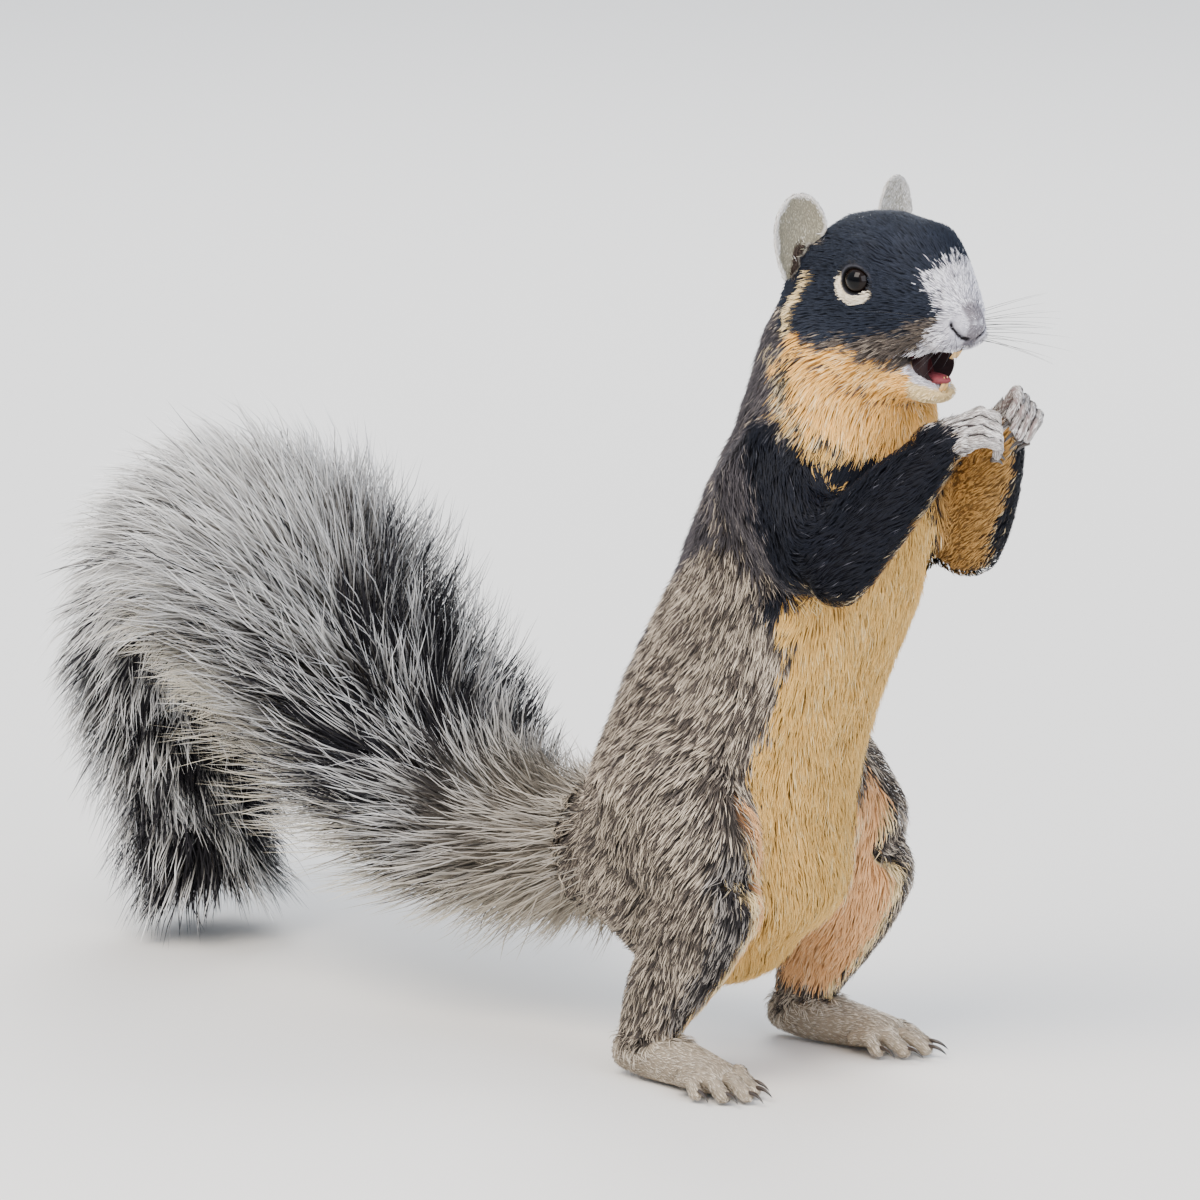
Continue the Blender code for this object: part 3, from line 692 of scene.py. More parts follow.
def assembleSkin(body):
    shape = bmesh.new()
    shape.from_mesh(body)
    for name in earNodes:
        ear = evenMesh(solidsOf([name], 0), skinLook["earVoxel"], name + "Shape")
        points, normals, edges = meshArrays(ear)
        movePoints(ear, relaxed(points - normals * coat["ear"][0] * mm, edges, 3))
        shape.from_mesh(ear)
    for side in sides:
        for bones in (handBones("hand_" + side), footBones(side)):
            paw = bmesh.new()
            for rows in bones:
                addShape(paw, *limb(rows))
            paw = evenMesh(paw, skinLook["pawVoxel"], "pawShape")
            points, _, edges = meshArrays(paw)
            points = relaxed(points, edges, 2)
            points[:, 2] = np.maximum(points[:, 2], skinLook["lowest"])
            movePoints(paw, points)
            shape.from_mesh(paw)
        addShape(shape, *makeLids(side))
    mesh = bpy.data.meshes.new("skin")
    shape.to_mesh(mesh)
    shape.free()
    mesh.shade_smooth()
    return placed("skin", mesh)


def earPlace(points):
    # share of the way up the nearer ear, mm in from its rim, and the way that its cup faces
    up, inward, cup = np.zeros(len(points)), np.zeros(len(points)), np.zeros((len(points), 3))
    for side in sides:
        own = meshArrays(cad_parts["ear_" + side].data)[0]
        centre = own.mean(axis=0)
        axes = np.linalg.svd(own - centre, full_matrices=False)[2]
        tall = axes[0] * np.sign(axes[0][2])
        facing = axes[2] * np.sign(axes[2] @ headAhead)
        across = np.cross(tall, facing)
        chosen = np.sign(points[:, 1] - eyeMiddle[1]) == sides[side]
        low, high = np.min((own - centre) @ tall), np.max((own - centre) @ tall)
        share = ((points - centre) @ tall - low) / (high - low)
        half = max(abs((own - centre) @ across)) / mm
        belowWidest = 0.66 + 0.34 * np.sin(math.pi / 2 * np.clip(share / 0.52, 0, 1))
        aboveWidest = np.sqrt(np.clip(1 - ((share - 0.52) / 0.48) ** 2, 0, 1))
        wide = half * np.where(share < 0.52, belowWidest, aboveWidest)
        rim = np.minimum(wide - np.abs((points - centre) @ across) / mm, (1 - share) * (high - low) / mm)
        up[chosen], inward[chosen], cup[chosen] = share[chosen], rim[chosen], facing
    return up, inward, cup


# Each colouring: the tones of a lock's root, middle and tip, how much they vary, how many locks end in
# another tone, and that tone.
colourings = {
    "grizzled": ("#2a2623", "#3d3733", "#665b52", 0.28, 0.40, "#d8c7b0"),
    "backed": ("#1e1d20", "#29272b", "#46434a", 0.26, 0.24, "#b3aba4"),
    "black": ("#06070d", "#0b0d16", "#131722", 0.18, 0.015, "#55555c"),
    "brownBlack": ("#19171a", "#343134", "#585355", 0.24, 0.10, "#857d78"),
    "crown": ("#12151d", "#1b202b", "#2a303d", 0.14, 0.0, "#4a4d58"),
    "buff": ("#a37538", "#ca9c53", "#deb76f", 0.09, 0.08, "#ead098"),
    "throat": ("#c0843e", "#eaad58", "#fccd80", 0.09, 0.14, "#ffe4b0"),
    "groin": ("#b57f52", "#dba26c", "#e8b987", 0.05, 0.04, "#efcfa2"),
    "cream": ("#b99e70", "#e0c48e", "#f2ddb2", 0.08, 0.08, "#fbefd2"),
    "white": ("#7d7b84", "#e4e1e9", "#ffffff", 0.12, 0.20, "#8b8993"),
    "greyTan": ("#2b2624", "#4e4640", "#75695e", 0.20, 0.16, "#a89a88"),
    "innerArm": ("#77552b", "#a47c44", "#c4985b", 0.14, 0.18, "#3a2d22"),
    "lidTop": ("#141417", "#212226", "#34353a", 0.10, 0.0, "#ffffff"),
    "lowerLid": ("#d8c4a2", "#f4e4c8", "#fdf2dc", 0.05, 0.0, "#ffffff"),
    "ear": ("#a9a39a", "#e6e2dc", "#ffffff", 0.12, 0.10, "#8a8074"),
    "cup": ("#6b6558", "#99937f", "#b5b09c", 0.14, 0.10, "#d5d0c2"),
    # painted shadow in the cleft at the front of the ear's base
    "earCleftShadow": ("#231c18", "#3a302a", "#51453c", 0.16, 0.0, "#6a5d52"),
    "hand": ("#4d4543", "#cdc5bf", "#ffffff", 0.20, 0.30, "#3a3331"),
    "foot": ("#695d4e", "#b5a793", "#e6dccd", 0.18, 0.12, "#5d5144"),
    "stripe": ("#171517", "#252223", "#3d3837", 0.22, 0.36, "#b9b0a6"),
    "rump": ("#232021", "#35312f", "#6e655a", 0.24, 0.45, "#cbc0ab"),
    "pad": ("#4f4a4e", "#858086", "#b3aeb4", 0.14, 0.10, "#d8d4da"),
    "ticked": ("#1d1b1b", "#2a2725", "#5a4f44", 0.28, 0.42, "#ecd6ab"),
}
# The lining tone is the mouth's own dark red, darkened further as painted shade.
bareTones = {
    # The slit tone is painted shade inside the nostrils.
    "lining": tone("#3a1517"), "rim": tone("#09080a"), "lidLine": tone("#3a3a40"), "slit": tone("#100c0d"),
    # The last tone is painted shade, for the paws' hollows and the furrows between fingers.
    "palm": tone("#857572"), "between": tone("#221c1d"),
}

# Where the markings end: what is measured, and the border at each value of it. Facing is in degrees from
# straight ahead, and everything else in mm.
borders = {
    # facing, height
    "saddle": ((70, 81, 91, 100, 108, 123, 150, 180), (162, 171, 177, 180, 178, 170, 158, 148)),
    "armFront": ((170, 185, 200, 214, 230), (144, 140, 132, 126, 118)),  # height, forwards
    # height, half the width of the belly
    "belly": ((60, 74, 84, 93, 99, 107, 117, 122, 136, 150, 161, 180),
              (15.7, 18.6, 22, 26, 27, 24, 21.9, 22.6, 24.5, 26.2, 27.4, 28)),
    # height, facing
    "throat": ((205, 214, 217, 224, 230, 234, 242, 250), (20, 42, 58, 71, 82, 89, 99, 104)),
    # on the head, from the eyes' middle: ahead and up, or up and ahead
    "cheek": ((-13.8, 0.5, 13.6, 19.9), (-20.6, -17.4, -14.5, -11)),
    "chin": ((-27.8, -20.5, -6.8, 1.6, 9.1), (-24.5, -23.0, -22.9, -26.0, -29.0)),
    "creamEar": ((-18, -13.4, -9.2, -5.5, -1.1), (-25.7, -27.2, -25.4, -22.9, -20.7)),
    "muzzle": ((-23.4, -19.3, -12.4, -9.8, -6.3, -3.2, 3.3, 6.9),
               (12.5, 18.5, 26.0, 26.6, 26.0, 24.8, 22.8, 24.5)),
    "lip": ((8, 14, 22), (-28, -32, -34.5)),
    # turn round the eye, reach of the ring as a share of the opening, and how much of it is pale or dark
    "eyeRing": ((0, 40, 90, 140, 180, 225, 265, 310, 345, 360),
                (1.28, 1.32, 1.40, 1.42, 1.58, 1.86, 1.96, 1.78, 1.40, 1.28)),
    "lowerLid": ((0, 150, 185, 270, 318, 340, 360), (0, 0, 0.8, 1, 0.9, 0.1, 0)),
    "lidTop": ((0, 35, 60, 360), (0, 0, 1, 1)),
    "earSlit": ((0.05, 0.2, 0.4), (21.5, 20.3, 19.3)),  # share of the way up the ear, outwards
}


def border(name, values):
    return np.interp(values, *borders[name])


def markings(points, normals, shares):
    # how strongly each colouring covers each point, in the order in which they are laid over each other
    def part(*names):
        return shareOf(shares, *names)

    ahead, left, up = headPlace(points)
    out = np.abs(left)
    height = points[:, 2] / mm
    away = np.abs(points[:, 1] / mm - bodyMiddle)
    flank = np.sign(points[:, 1] / mm - bodyMiddle)
    facing = np.degrees(np.arctan2(np.abs(normals[:, 1]), normals[:, 0]))  # 0 in front, 180 behind
    inward = -flank * normals[:, 1]
    wide = cloud(points, 13 * mm, 1) - 0.5
    fine = cloud(points, 3.2 * mm, 2) - 0.5
    hairs = cloud(points * np.array([1, 1, 0.3]), 1.3 * mm, 3) - 0.5
    faceHairs = cloud(np.stack([ahead * 0.28, left, up], axis=1), 1.2, 4) - 0.5
    trunk = part("hips", "abdomen", "chest", "neck")
    legs = part("thigh", "shank")
    arms = part("upper_arm", "forearm")
    head = part("head", "nose", "eye", "lower_jaw")
    ragged = 3.2 * wide + 3.0 * fine + 3.4 * hairs

    # the grizzled body, its dark back and saddle, and the dark arms, black in front
    laid = {"grizzled": np.ones(len(points))}
    laid["backed"] = ramp(facing + 5 * ragged, 132, 158) * (trunk + 0.4 * legs) * ramp(height, 88, 100)
    saddle = border("saddle", facing)
    dark = ramp(height + 1.6 * ragged, saddle - 3, saddle + 5)
    onArm = ramp(arms + 0.3 * fine, 0.35, 0.6)
    line = border("armFront", height)
    front = ramp(points[:, 0] / mm + 1.5 * ragged, line - 5, line + 4)
    laid["brownBlack"] = np.maximum(dark * trunk, onArm)
    laid["black"] = np.maximum(onArm * front, dark * trunk * ramp(facing, 100, 74))
    # the buff belly, and the inner sides of the limbs
    belly = ramp(border("belly", height) + 0.8 * ragged - away, -0.8, 0.8) * ramp(facing, 100, 84)
    before = ramp(points[:, 0] / mm, 70, 84)
    crease = ramp(away, 27, 23) * ramp(facing, 115, 95) * before
    crease *= ramp(height, 122, 114)
    crease *= ramp(height, 16, 24)
    laid["buff"] = np.maximum(belly * ramp(trunk, 0.3, 0.6) * before, crease)
    inner = ramp(inward + 0.5 * fine + 0.4 * hairs, 0.25, 0.45) * ramp(arms, 0.3, 0.6)
    laid["innerArm"] = inner * ramp(facing, 150, 120)
    laid["ticked"] = ramp(inward + 0.8 * hairs, 0.05, 0.3) * (1 - inner) * part("forearm") * 0.7
    under = ramp(-normals[:, 2] + 0.5 * hairs, 0.55, 0.9) * (1 - inner) * part("forearm")
    laid["ticked"] = np.maximum(laid["ticked"], 0.5 * under)
    groin = ramp(inward + 0.2 * fine, 0.1, 0.35) * ramp(part("thigh", "shank", "hips"), 0.3, 0.6)
    laid["groin"] = groin * ramp(height, 106, 90) * ramp(facing, 122, 104) * before * ramp(height, 16, 24)
    # a dark and a cream stripe down the front of each leg
    inwards = inward + 0.06 * ragged
    stripe = ramp(inwards, -0.88, -0.72) * ramp(inwards, 0.12, 0.0) * ramp(facing, 80, 62)
    laid["stripe"] = stripe * ramp(legs, 0.5, 0.8) * ramp(height + ragged, 88, 76)
    laid["stripe"] *= np.where(flank > 0, 0.2, 1)
    laid["stripe"] *= ramp(away, 19, 24)
    laid["cream"] = ramp(inwards, 0.0, 0.12) * ramp(inwards, 0.42, 0.28) * ramp(facing, 80, 60)
    laid["cream"] *= ramp(legs, 0.5, 0.8)
    laid["cream"] *= ramp(height, 88, 76)
    laid["rump"] = part("tail")

    # the buff throat, with a ragged edge that draws in towards the chest
    rear = border("throat", height)
    throat = ramp(facing + 5 * ragged, rear + 4, rear - 4) * ramp(part("neck", "chest"), 0.3, 0.6)
    laid["tickedNeck"] = ramp(facing + 5 * ragged, rear + 16, rear + 5) * part("neck", "chest")
    laid["tickedNeck"] *= ramp(height, 211, 216)
    laid["tickedNeck"] *= ramp(height, 250, 236)
    laid["throat"] = throat * ramp(height + 0.5 * ragged, 210, 215)
    laid["blackChest"] = ramp(height + 0.5 * ragged, 215, 211) * ramp(height, 186, 196)
    laid["blackChest"] *= ramp(away + ragged, 6, 9)
    laid["blackChest"] *= part("neck", "chest") * ramp(facing, 95, 78)

    # the black head with its tan cheek, buff chin, cream streak before the ear, and white muzzle
    laid["crown"] = ramp(head, 0.45, 0.65)
    cheek = border("cheek", ahead)
    laid["greyTan"] = ramp(up + 6 * faceHairs, cheek + 1.5, cheek - 2.5) * head * ramp(ahead, -22, -14)
    chin = border("chin", ahead)
    laid["throatHead"] = ramp(up + 6 * faceHairs, chin + 1.5, chin - 1.5) * ramp(head, 0.3, 0.6)
    laid["creamJaw"] = ramp(part("lower_jaw"), 0.3, 0.7) * ramp(ahead, 6, 12)
    streak = np.abs(ahead - border("creamEar", up))
    laid["creamEar"] = ramp(streak + 1.6 * faceHairs, 2.2, 1.1) * ramp(up, -22, -18) * ramp(up, 1, -2)
    laid["creamEar"] *= ramp(out, 12, 15)
    back = border("muzzle", up)
    laid["white"] = ramp(ahead + 5.5 * faceHairs + 2.5 * fine, back - 3.6, back + 2.4) ** 1.5
    laid["white"] = laid["white"] * ramp(up, -27, -24) * head
    lipSide = ramp(np.abs(up - border("lip", ahead)), 1.8, 0.7)
    laid["whiteLip"] = lipSide * part("lower_jaw", "head") * ramp(ahead, 8, 11)

    onPad = reachFrom(points, noseLook["middle"], noseLook["half"])
    laid["pad"] = ramp(onPad + 0.3 * faceHairs, 1.5, 1.2) * ramp(out, 4.5, 3.0) * head

    # the pale ring below each eye and its dark upper lid
    reach, turn = eyePlace(points)
    around = border("eyeRing", turn)
    ring = ramp(reach + 0.10 * faceHairs, around + 0.05, around - 0.05)
    laid["lidTop"] = ring * ramp(border("lidTop", turn), 0.2, 0.8)
    laid["lowerLid"] = ring * ramp(border("lowerLid", turn), 0.2, 0.8)

    # ears and paws
    earUp, earRim, earFacing = earPlace(points)
    onEar = ramp(part("ear"), 0.5, 0.75)
    inCup = ramp(np.sum(normals * earFacing, axis=1), 0.0, 0.4)
    laid["ear"] = onEar
    laid["cup"] = onEar * inCup * ramp(earRim + 1.6 * fine, 1.7, 3.0) * np.where(left < 0, 1, 0.35)
    # painted shadow: dark hair along the cleft at the front of the ear's base
    slit = np.abs(out + 1.2 * fine - border("earSlit", earUp))
    laid["earCleftShadow"] = onEar * inCup * ramp(slit, 1.8, 0.9) * ramp(earUp, 0.46, 0.34)
    laid["hand"] = ramp(part("hand") + 0.4 * fine, 0.4, 0.7)
    laid["foot"] = ramp(part("foot") + 0.4 * fine, 0.4, 0.7)
    return laid


# markings that share the colouring of another
paintAs = {
    "creamEar": "cream", "creamJaw": "cream", "blackChest": "black", "tickedNeck": "ticked",
    "throatHead": "throat", "whiteLip": "white",
}


def skinTones(laid, points):
    total = np.zeros((len(points), 3))
    for name, cover in laid.items():
        look = colourings[paintAs.get(name, name)]
        under = tone(look[0]) * 0.55 + tone(look[1]) * 0.45
        cover = np.clip(cover, 0, 1)[:, None]
        total = total * (1 - cover) + under * cover
    return total


def lockTones(laid, points):
    # picks one colouring for each lock, and returns the tones of its root, middle and tip
    count = len(points)
    picked = np.zeros(count, int)
    names = list(laid)
    for i, name in enumerate(names):
        picked[chance.random(count) < laid[name]] = i
    looks = [colourings[paintAs.get(name, name)] for name in names]
    root, body, tip, other = (np.array([tone(look[k]) for look in looks])[picked] for k in (0, 1, 2, 5))
    vary = np.array([look[3] for look in looks])[picked]
    often = np.array([look[4] for look in looks])[picked]
    clumpy = 0.5 * chance.random(count) + 0.5 * cloud(points, 2.2 * mm, 9)
    ticked = (clumpy < np.quantile(clumpy, often))[:, None]
    tip = np.where(ticked, other, tip)
    body = np.where(ticked, body * 0.55 + other * 0.45, body)
    soft = (cloud(points, 7 * mm, 12) - 0.5) * 1.8 + (cloud(points, 2.5 * mm, 13) - 0.5) * 0.8
    shade = np.exp((chance.normal(0, 1, count) * 0.8 + soft) * vary)[:, None]
    return root * shade, body * shade, tip * shade


def surfaceRoots(mesh, density, seed):
    # scatters roots over a mesh, density in locks to the square mm at each vertex
    triangles = meshTriangles(mesh)
    corners = meshArrays(mesh)[0][triangles]
    weight = areaOf(corners) * density[triangles].mean(axis=1) / mm ** 2
    count = int(weight.sum())
    picker = np.random.default_rng(seed)
    face = np.searchsorted(np.cumsum(weight), picker.random(count) * weight.sum())
    mix = picker.dirichlet((1, 1, 1), count)
    return triangles[np.minimum(face, len(triangles) - 1)], mix


def mixed(values, corners, mix):
    return np.einsum("nk,nkd->nd", mix, values[corners])


def clumped(roots, size, seed):
    # the middle of the little clump that each root belongs to
    shifted = roots + cloudVectors(roots, size * 1.7, seed) * size * 0.45
    cell = np.floor(shifted / size).astype(np.int64)
    key = (cell[:, 0] * 73856093) ^ (cell[:, 1] * 19349663) ^ (cell[:, 2] * 83492791)
    _, member = np.unique(key, return_inverse=True)
    count = np.bincount(member)
    return np.stack([(np.bincount(member, roots[:, k]) / count)[member] for k in range(3)], axis=1)


def makeLocks(name, lines, widths, lifts, tones, places, finish, slotName):
    # lines: root, one or two rings and tip of each lock; lifts: the coat's own normals, for its shading too
    count, stops = lines.shape[:2]
    rings = stops - 2
    ahead = unit(lines[:, -1] - lines[:, 0])
    up = unit(alongSurface(lifts, ahead))
    side = np.cross(ahead, up)
    points = np.empty((count, 2 + 3 * rings, 3))
    normals, colours, strand = np.empty_like(points), np.empty_like(points), np.zeros_like(points)
    points[:, 0], points[:, -1] = lines[:, 0], lines[:, -1]
    normals[:, 0], normals[:, -1] = up, up
    colours[:, 0], colours[:, -1] = tones[:, 0], tones[:, -1]
    strand[:, -1, 1] = 1.5
    for r in range(rings):
        for k, (across, over) in enumerate([(-0.5, -0.12), (0.5, -0.12), (0.0, 0.3)]):
            at = 1 + 3 * r + k
            points[:, at] = lines[:, 1 + r] + (side * across + up * over) * widths[:, r, None]
            normals[:, at] = side * across * 1.3 + up * (0.6 + over)
            colours[:, at] = tones[:, 1 + r]
            strand[:, at, 0] = across * 3.4
            strand[:, at, 1] = 1.5 * (r + 1) / (rings + 1)
    strand[:, :, 0] += (np.arange(count) * 7.31 % 97)[:, None]
    strand[:, :, 2] = (np.arange(count) * 3.17 % 89)[:, None]
    normals = unit(unit(normals) * 0.45 + lifts[:, None, :] * 0.55)
    points[:, :, 2] = np.maximum(points[:, :, 2], 0.2 * mm)
    face = []
    for k in range(3):
        nextK = (k + 1) % 3
        face.append((0, 1 + nextK, 1 + k))
        for r in range(rings - 1):
            a, b = 1 + 3 * r + k, 1 + 3 * r + nextK
            face += [(a, b, b + 3), (a, b + 3, a + 3)]
        last = 1 + 3 * (rings - 1)
        face.append((last + k, last + nextK, 1 + 3 * rings))
    face = np.array(face)
    sample = points[0] - points[0].mean(axis=0)
    if sum(np.dot(sample[a], np.cross(sample[b], sample[c])) for a, b, c in face) < 0:
        face = face[:, ::-1]
    faces = (face[None] + points.shape[1] * np.arange(count)[:, None, None]).reshape(-1)
    piece = makeObject(name, points.reshape(-1, 3), faces, np.full(count * len(face), 3, np.int32))
    colourPoints(piece, colours.reshape(-1, 3))
    streaks = piece.data.attributes.new("strand", "FLOAT_VECTOR", "POINT")
    streaks.data.foreach_set("vector", strand.astype(np.float32).ravel())
    # a patch for each lock, at its root's place on the unwrapped skin
    patch = 0.003
    along = np.concatenate([[0], np.repeat(np.arange(1, rings + 1) / (rings + 1), 3), [1]])
    around = np.concatenate([[0.5], np.tile([0, 1, 0.5], rings), [0.5]])
    spot = places[:, None, :] * (1 - patch) + np.stack([around, along], axis=1)[None] * patch
    layer = piece.data.uv_layers.new(name="OFBake")
    layer.uv.foreach_set("vector", spot.reshape(-1, 2)[faces].astype(np.float32).ravel())
    piece.data.normals_split_custom_set_from_vertices(normals.reshape(-1, 3))
    settle(piece, finish, slotName)
    print(name, count, "locks", count * len(face), "triangles")
    return piece


def unwrapped(points, halves):
    # a place on a cylinder round each limb's own long axis, each side of the body on its own half
    places = np.zeros((len(points), 2))
    for i, chosen in enumerate(halves):
        if not chosen.any():
            continue
        away = points[chosen] - points[chosen].mean(axis=0)
        axes = np.linalg.svd(away[:: max(1, len(away) // 4000)], full_matrices=False)[2]
        turn = np.arctan2(away @ axes[2], away @ axes[1]) / (2 * math.pi) + 0.5
        length = away @ axes[0]
        places[chosen, 0] = (turn + i) / len(halves)
        places[chosen, 1] = (length - length.min()) / np.ptp(length)
    return places


def coatFinish(name, roughness, gloss, depth, grain=None, bump=0.0, tint=None):
    # the laid tone or one tint, broken up by a grain that many to the metre, or by streaks along each lock
    made = bpy.data.materials.new(name)
    made.use_nodes = True
    nodes, links = made.node_tree.nodes, made.node_tree.links
    shader = nodes["Principled BSDF"]
    noise = nodes.new("ShaderNodeTexNoise")
    noise.inputs["Detail"].default_value = 2
    if grain is None:
        place = nodes.new("ShaderNodeAttribute")
        place.attribute_name = "strand"
        noise.inputs["Scale"].default_value = 1.0
        links.new(place.outputs["Vector"], noise.inputs["Vector"])
    else:
        place = nodes.new("ShaderNodeTexCoord")
        noise.inputs["Scale"].default_value = grain
        links.new(place.outputs["Object"], noise.inputs["Vector"])
    band = nodes.new("ShaderNodeMapRange")
    band.inputs["From Min"].default_value = 0.25
    band.inputs["From Max"].default_value = 0.75
    band.inputs["To Min"].default_value = 1 - depth
    band.inputs["To Max"].default_value = 1 + depth
    links.new(noise.outputs["Fac"], band.inputs["Value"])
    blend = nodes.new("ShaderNodeVectorMath")
    blend.operation = "SCALE"
    if tint is None:
        laid = nodes.new("ShaderNodeAttribute")
        laid.attribute_name = "coatTone"
        links.new(laid.outputs["Color"], blend.inputs[0])
    else:
        blend.inputs[0].default_value = tone(tint)
    links.new(band.outputs["Result"], blend.inputs["Scale"])
    links.new(blend.outputs["Vector"], shader.inputs["Base Color"])
    shader.inputs["Roughness"].default_value = roughness
    shader.inputs["Specular IOR Level"].default_value = gloss
    if bump:
        dent = nodes.new("ShaderNodeBump")
        dent.inputs["Strength"].default_value = bump
        dent.inputs["Distance"].default_value = 0.0003
        links.new(noise.outputs["Fac"], dent.inputs["Height"])
        links.new(dent.outputs["Normal"], shader.inputs["Normal"])
    return made


def glossFinish(name, roughness, tint=None, clear=0.0, gloss=0.5):
    # eyes, claws, teeth, mouth and whiskers
    made = coatFinish(name, roughness, gloss, 0.12, 900, tint=tint)
    made.node_tree.nodes["Principled BSDF"].inputs["Coat Weight"].default_value = clear
    return made


noseLook = {
    # The top tone, for the pad's middle, is darker than the side tone as painted shade.
    "top": "#5f595d", "side": "#a5a0a5", "slit": "#0c0909", "rows": 72, "columns": 96,
    "middle": (31.6, 0, -12.4), "half": (3.3, 6.2, 5.2),  # ahead, left, up from the eyes' middle, mm
    "taper": 0.28, "dent": 0.26,  # narrowing towards the lip, and the nostrils' depth, as shares
}

mouthLook = {
    # middle and half size in mm from the eyes' middle: ahead, left, up
    # The pocket is a near-black sheet at the back of the open mouth, painted shade.
    "shadowPocket": ((15.8, 0, -27.6), (8.6, 6.2, 5.6), "#1c0a0c", "nose_skin"),
    "tongue": ((15.5, 0, -32.2), (7.2, 3.4, 1.8), "#7d3a40", "nose_skin"),
}

guide = makeGuide()
skin = assembleSkin(makeSkin(guide))
skinPoints, skinNormals, skinEdges = meshArrays(skin.data)
shares = partShares(skinPoints, guide)
softNormals = unit(relaxed(skinNormals, skinEdges, 10))
handShare, pawShare, earShare = (shareOf(shares, *names) for names in (["hand"], ["hand", "foot"], ["ear"]))
lidReach = eyePlace(skinPoints)[0]
close = np.maximum(pawShare + earShare, ramp(lidReach, 3.2, 2.4))
close = ramp(relaxed(close[:, None], skinEdges, 3), 0.3, 0.6)
softNormals = unit(softNormals * (1 - close) + unit(relaxed(skinNormals, skinEdges, 2)) * close)
# 1 where one part of the skin lies hidden inside another, so that no hair grows there
skinFaces = BVHTree.FromPolygons(skinPoints.tolist(), meshTriangles(skin.data).tolist())
buried = np.zeros(len(skinPoints))
for i, (place, way) in enumerate(zip(skinPoints, skinNormals)):
    _, faceNormal, _, _ = skinFaces.ray_cast(place + way * 0.06 * mm, way, 5 * mm)
    if faceNormal is not None and np.dot(faceNormal, way) > 0:
        buried[i] = 1
skinTree = KDTree(len(skinPoints))
for i in np.flatnonzero(buried == 0):
    skinTree.insert(skinPoints[i], i)
skinTree.balance()
print("skin shaped", len(skinPoints))


def layOfPaws(points):
    # along the nearest bone of the paws
    starts, ends = [], []
    for side in sides:
        for rows in handBones("hand_" + side) + footBones(side):
            starts += [row[:3] for row in rows[:-1]]
            ends += [row[:3] for row in rows[1:]]
    best, way = np.full(len(points), 1e9), np.zeros((len(points), 3))
    for start, end in zip(np.array(starts), np.array(ends)):
        distance = fromLine(points / mm, start, end)
        way[distance < best] = unit(end - start)
        best = np.minimum(best, distance)
    return way


def fingerGapShade(points):
    # 1 along the furrows between neighbouring fingers, where the hair thins and painted shade darkens skin
    # and locks
    gapShade = np.zeros(len(points))
    for side in sides:
        bones = handBones("hand_" + side)[1:-1]
        distances = []
        for finger in range(4):
            rows = np.array([row[:3] for row in bones[2 * finger] + bones[2 * finger + 1]])
            distances.append(fromRoute(points / mm, rows))
        distances = np.sort(np.array(distances), axis=0)
        gapShade = np.maximum(gapShade, ramp(distances[1] - distances[0], 0.75, 0.25) * ramp(distances[0], 6, 4))
    return gapShade


def layOfCoat(points, normals, shares):
    # the way the hair points at each place on the skin
    side = np.where(points[:, 1:2] / mm < bodyMiddle, -1, 1)
    ways = np.array([coat[name][4] for name in partNames])
    base = shares @ ways
    base[:, 1:2] *= side
    # straight down on the belly and chest
    facing = np.degrees(np.arctan2(np.abs(normals[:, 1]), normals[:, 0]))[:, None]
    front = ramp(facing, 62, 34) * shareOf(shares, "hips", "abdomen", "chest")[:, None]
    base = base * (1 - front) + np.array([-0.1, 0, -1.0]) * front
    onHead = shareOf(shares, "head", "nose", "eye", "lower_jaw")[:, None]
    ahead = headPlace(points)[0]
    start = noseTip + headAhead * 9 * mm + headUp * 2 * mm
    away = unit(points - start) - headUp * 0.35 * ramp(-ahead, -4, 22)[:, None]
    lay = base * (1 - onHead) + away * onHead
    onPaws = ramp(pawShare, 0.4, 0.6)[:, None]
    lay = lay * (1 - onPaws) + layOfPaws(points) * onPaws
    return unit(alongSurface(lay, normals))


lay = layOfCoat(skinPoints, softNormals, shares)
lay = unit(alongSurface(relaxed(lay, skinEdges, 8), softNormals))

laidSkin = markings(skinPoints, softNormals, shares)
skinColour = skinTones(laidSkin, skinPoints)
# the mouth's lining is its own dark red, darkened as painted shade inside the mouth
inMouth = reachFrom(skinPoints, mouthLook["shadowPocket"][0], mouth["lining"])
lining = np.maximum(mouthGap(skinPoints), ramp(inMouth, 1.0, 0.9)) * (handShare < 0.2)
facesPalm = ramp(-np.sign(skinPoints[:, 1] / mm - bodyMiddle) * skinNormals[:, 1], 0.35, 0.7)
facesPalm = facesPalm * ramp(handShare, 0.5, 0.8)
# painted shade: the paws' hollows and the furrows between the fingers darken the skin and the locks, and the
# hair there thins
hollow = np.sum((relaxed(skinPoints, skinEdges, 3) - skinPoints) * skinNormals, axis=1) / mm
between = ramp(hollow, 0.05, 0.16) * ramp(pawShare, 0.6, 0.9)
gapShade = fingerGapShade(skinPoints) * ramp(handShare, 0.5, 0.8)
for cover, name in (
    (facesPalm, "palm"),
    (np.maximum(between, gapShade), "between"),
    (ramp(lining, 0.05, 0.3), "rim"),
    (ramp(lining, 0.5, 0.9), "lining"),
    # painted shade in the nostrils' slits and the groove down to the lip
    (nostrilCover(skinPoints, 1.0), "slit"),
    (ramp(lidReach, 1.30, 1.22), "rim"),
    (ramp(np.abs(lidReach - 1.2), 0.05, 0.02), "lidLine"),
):
    cover = cover[:, None]
    skinColour = skinColour * (1 - cover) + bareTones[name] * cover
colourPoints(skin, skinColour)
settle(skin, coatFinish("skinUnderFur", 0.7, 0.12, 0.2, 1800, 0.6), "grizzled_coat", *fleshNodes, *earNodes)

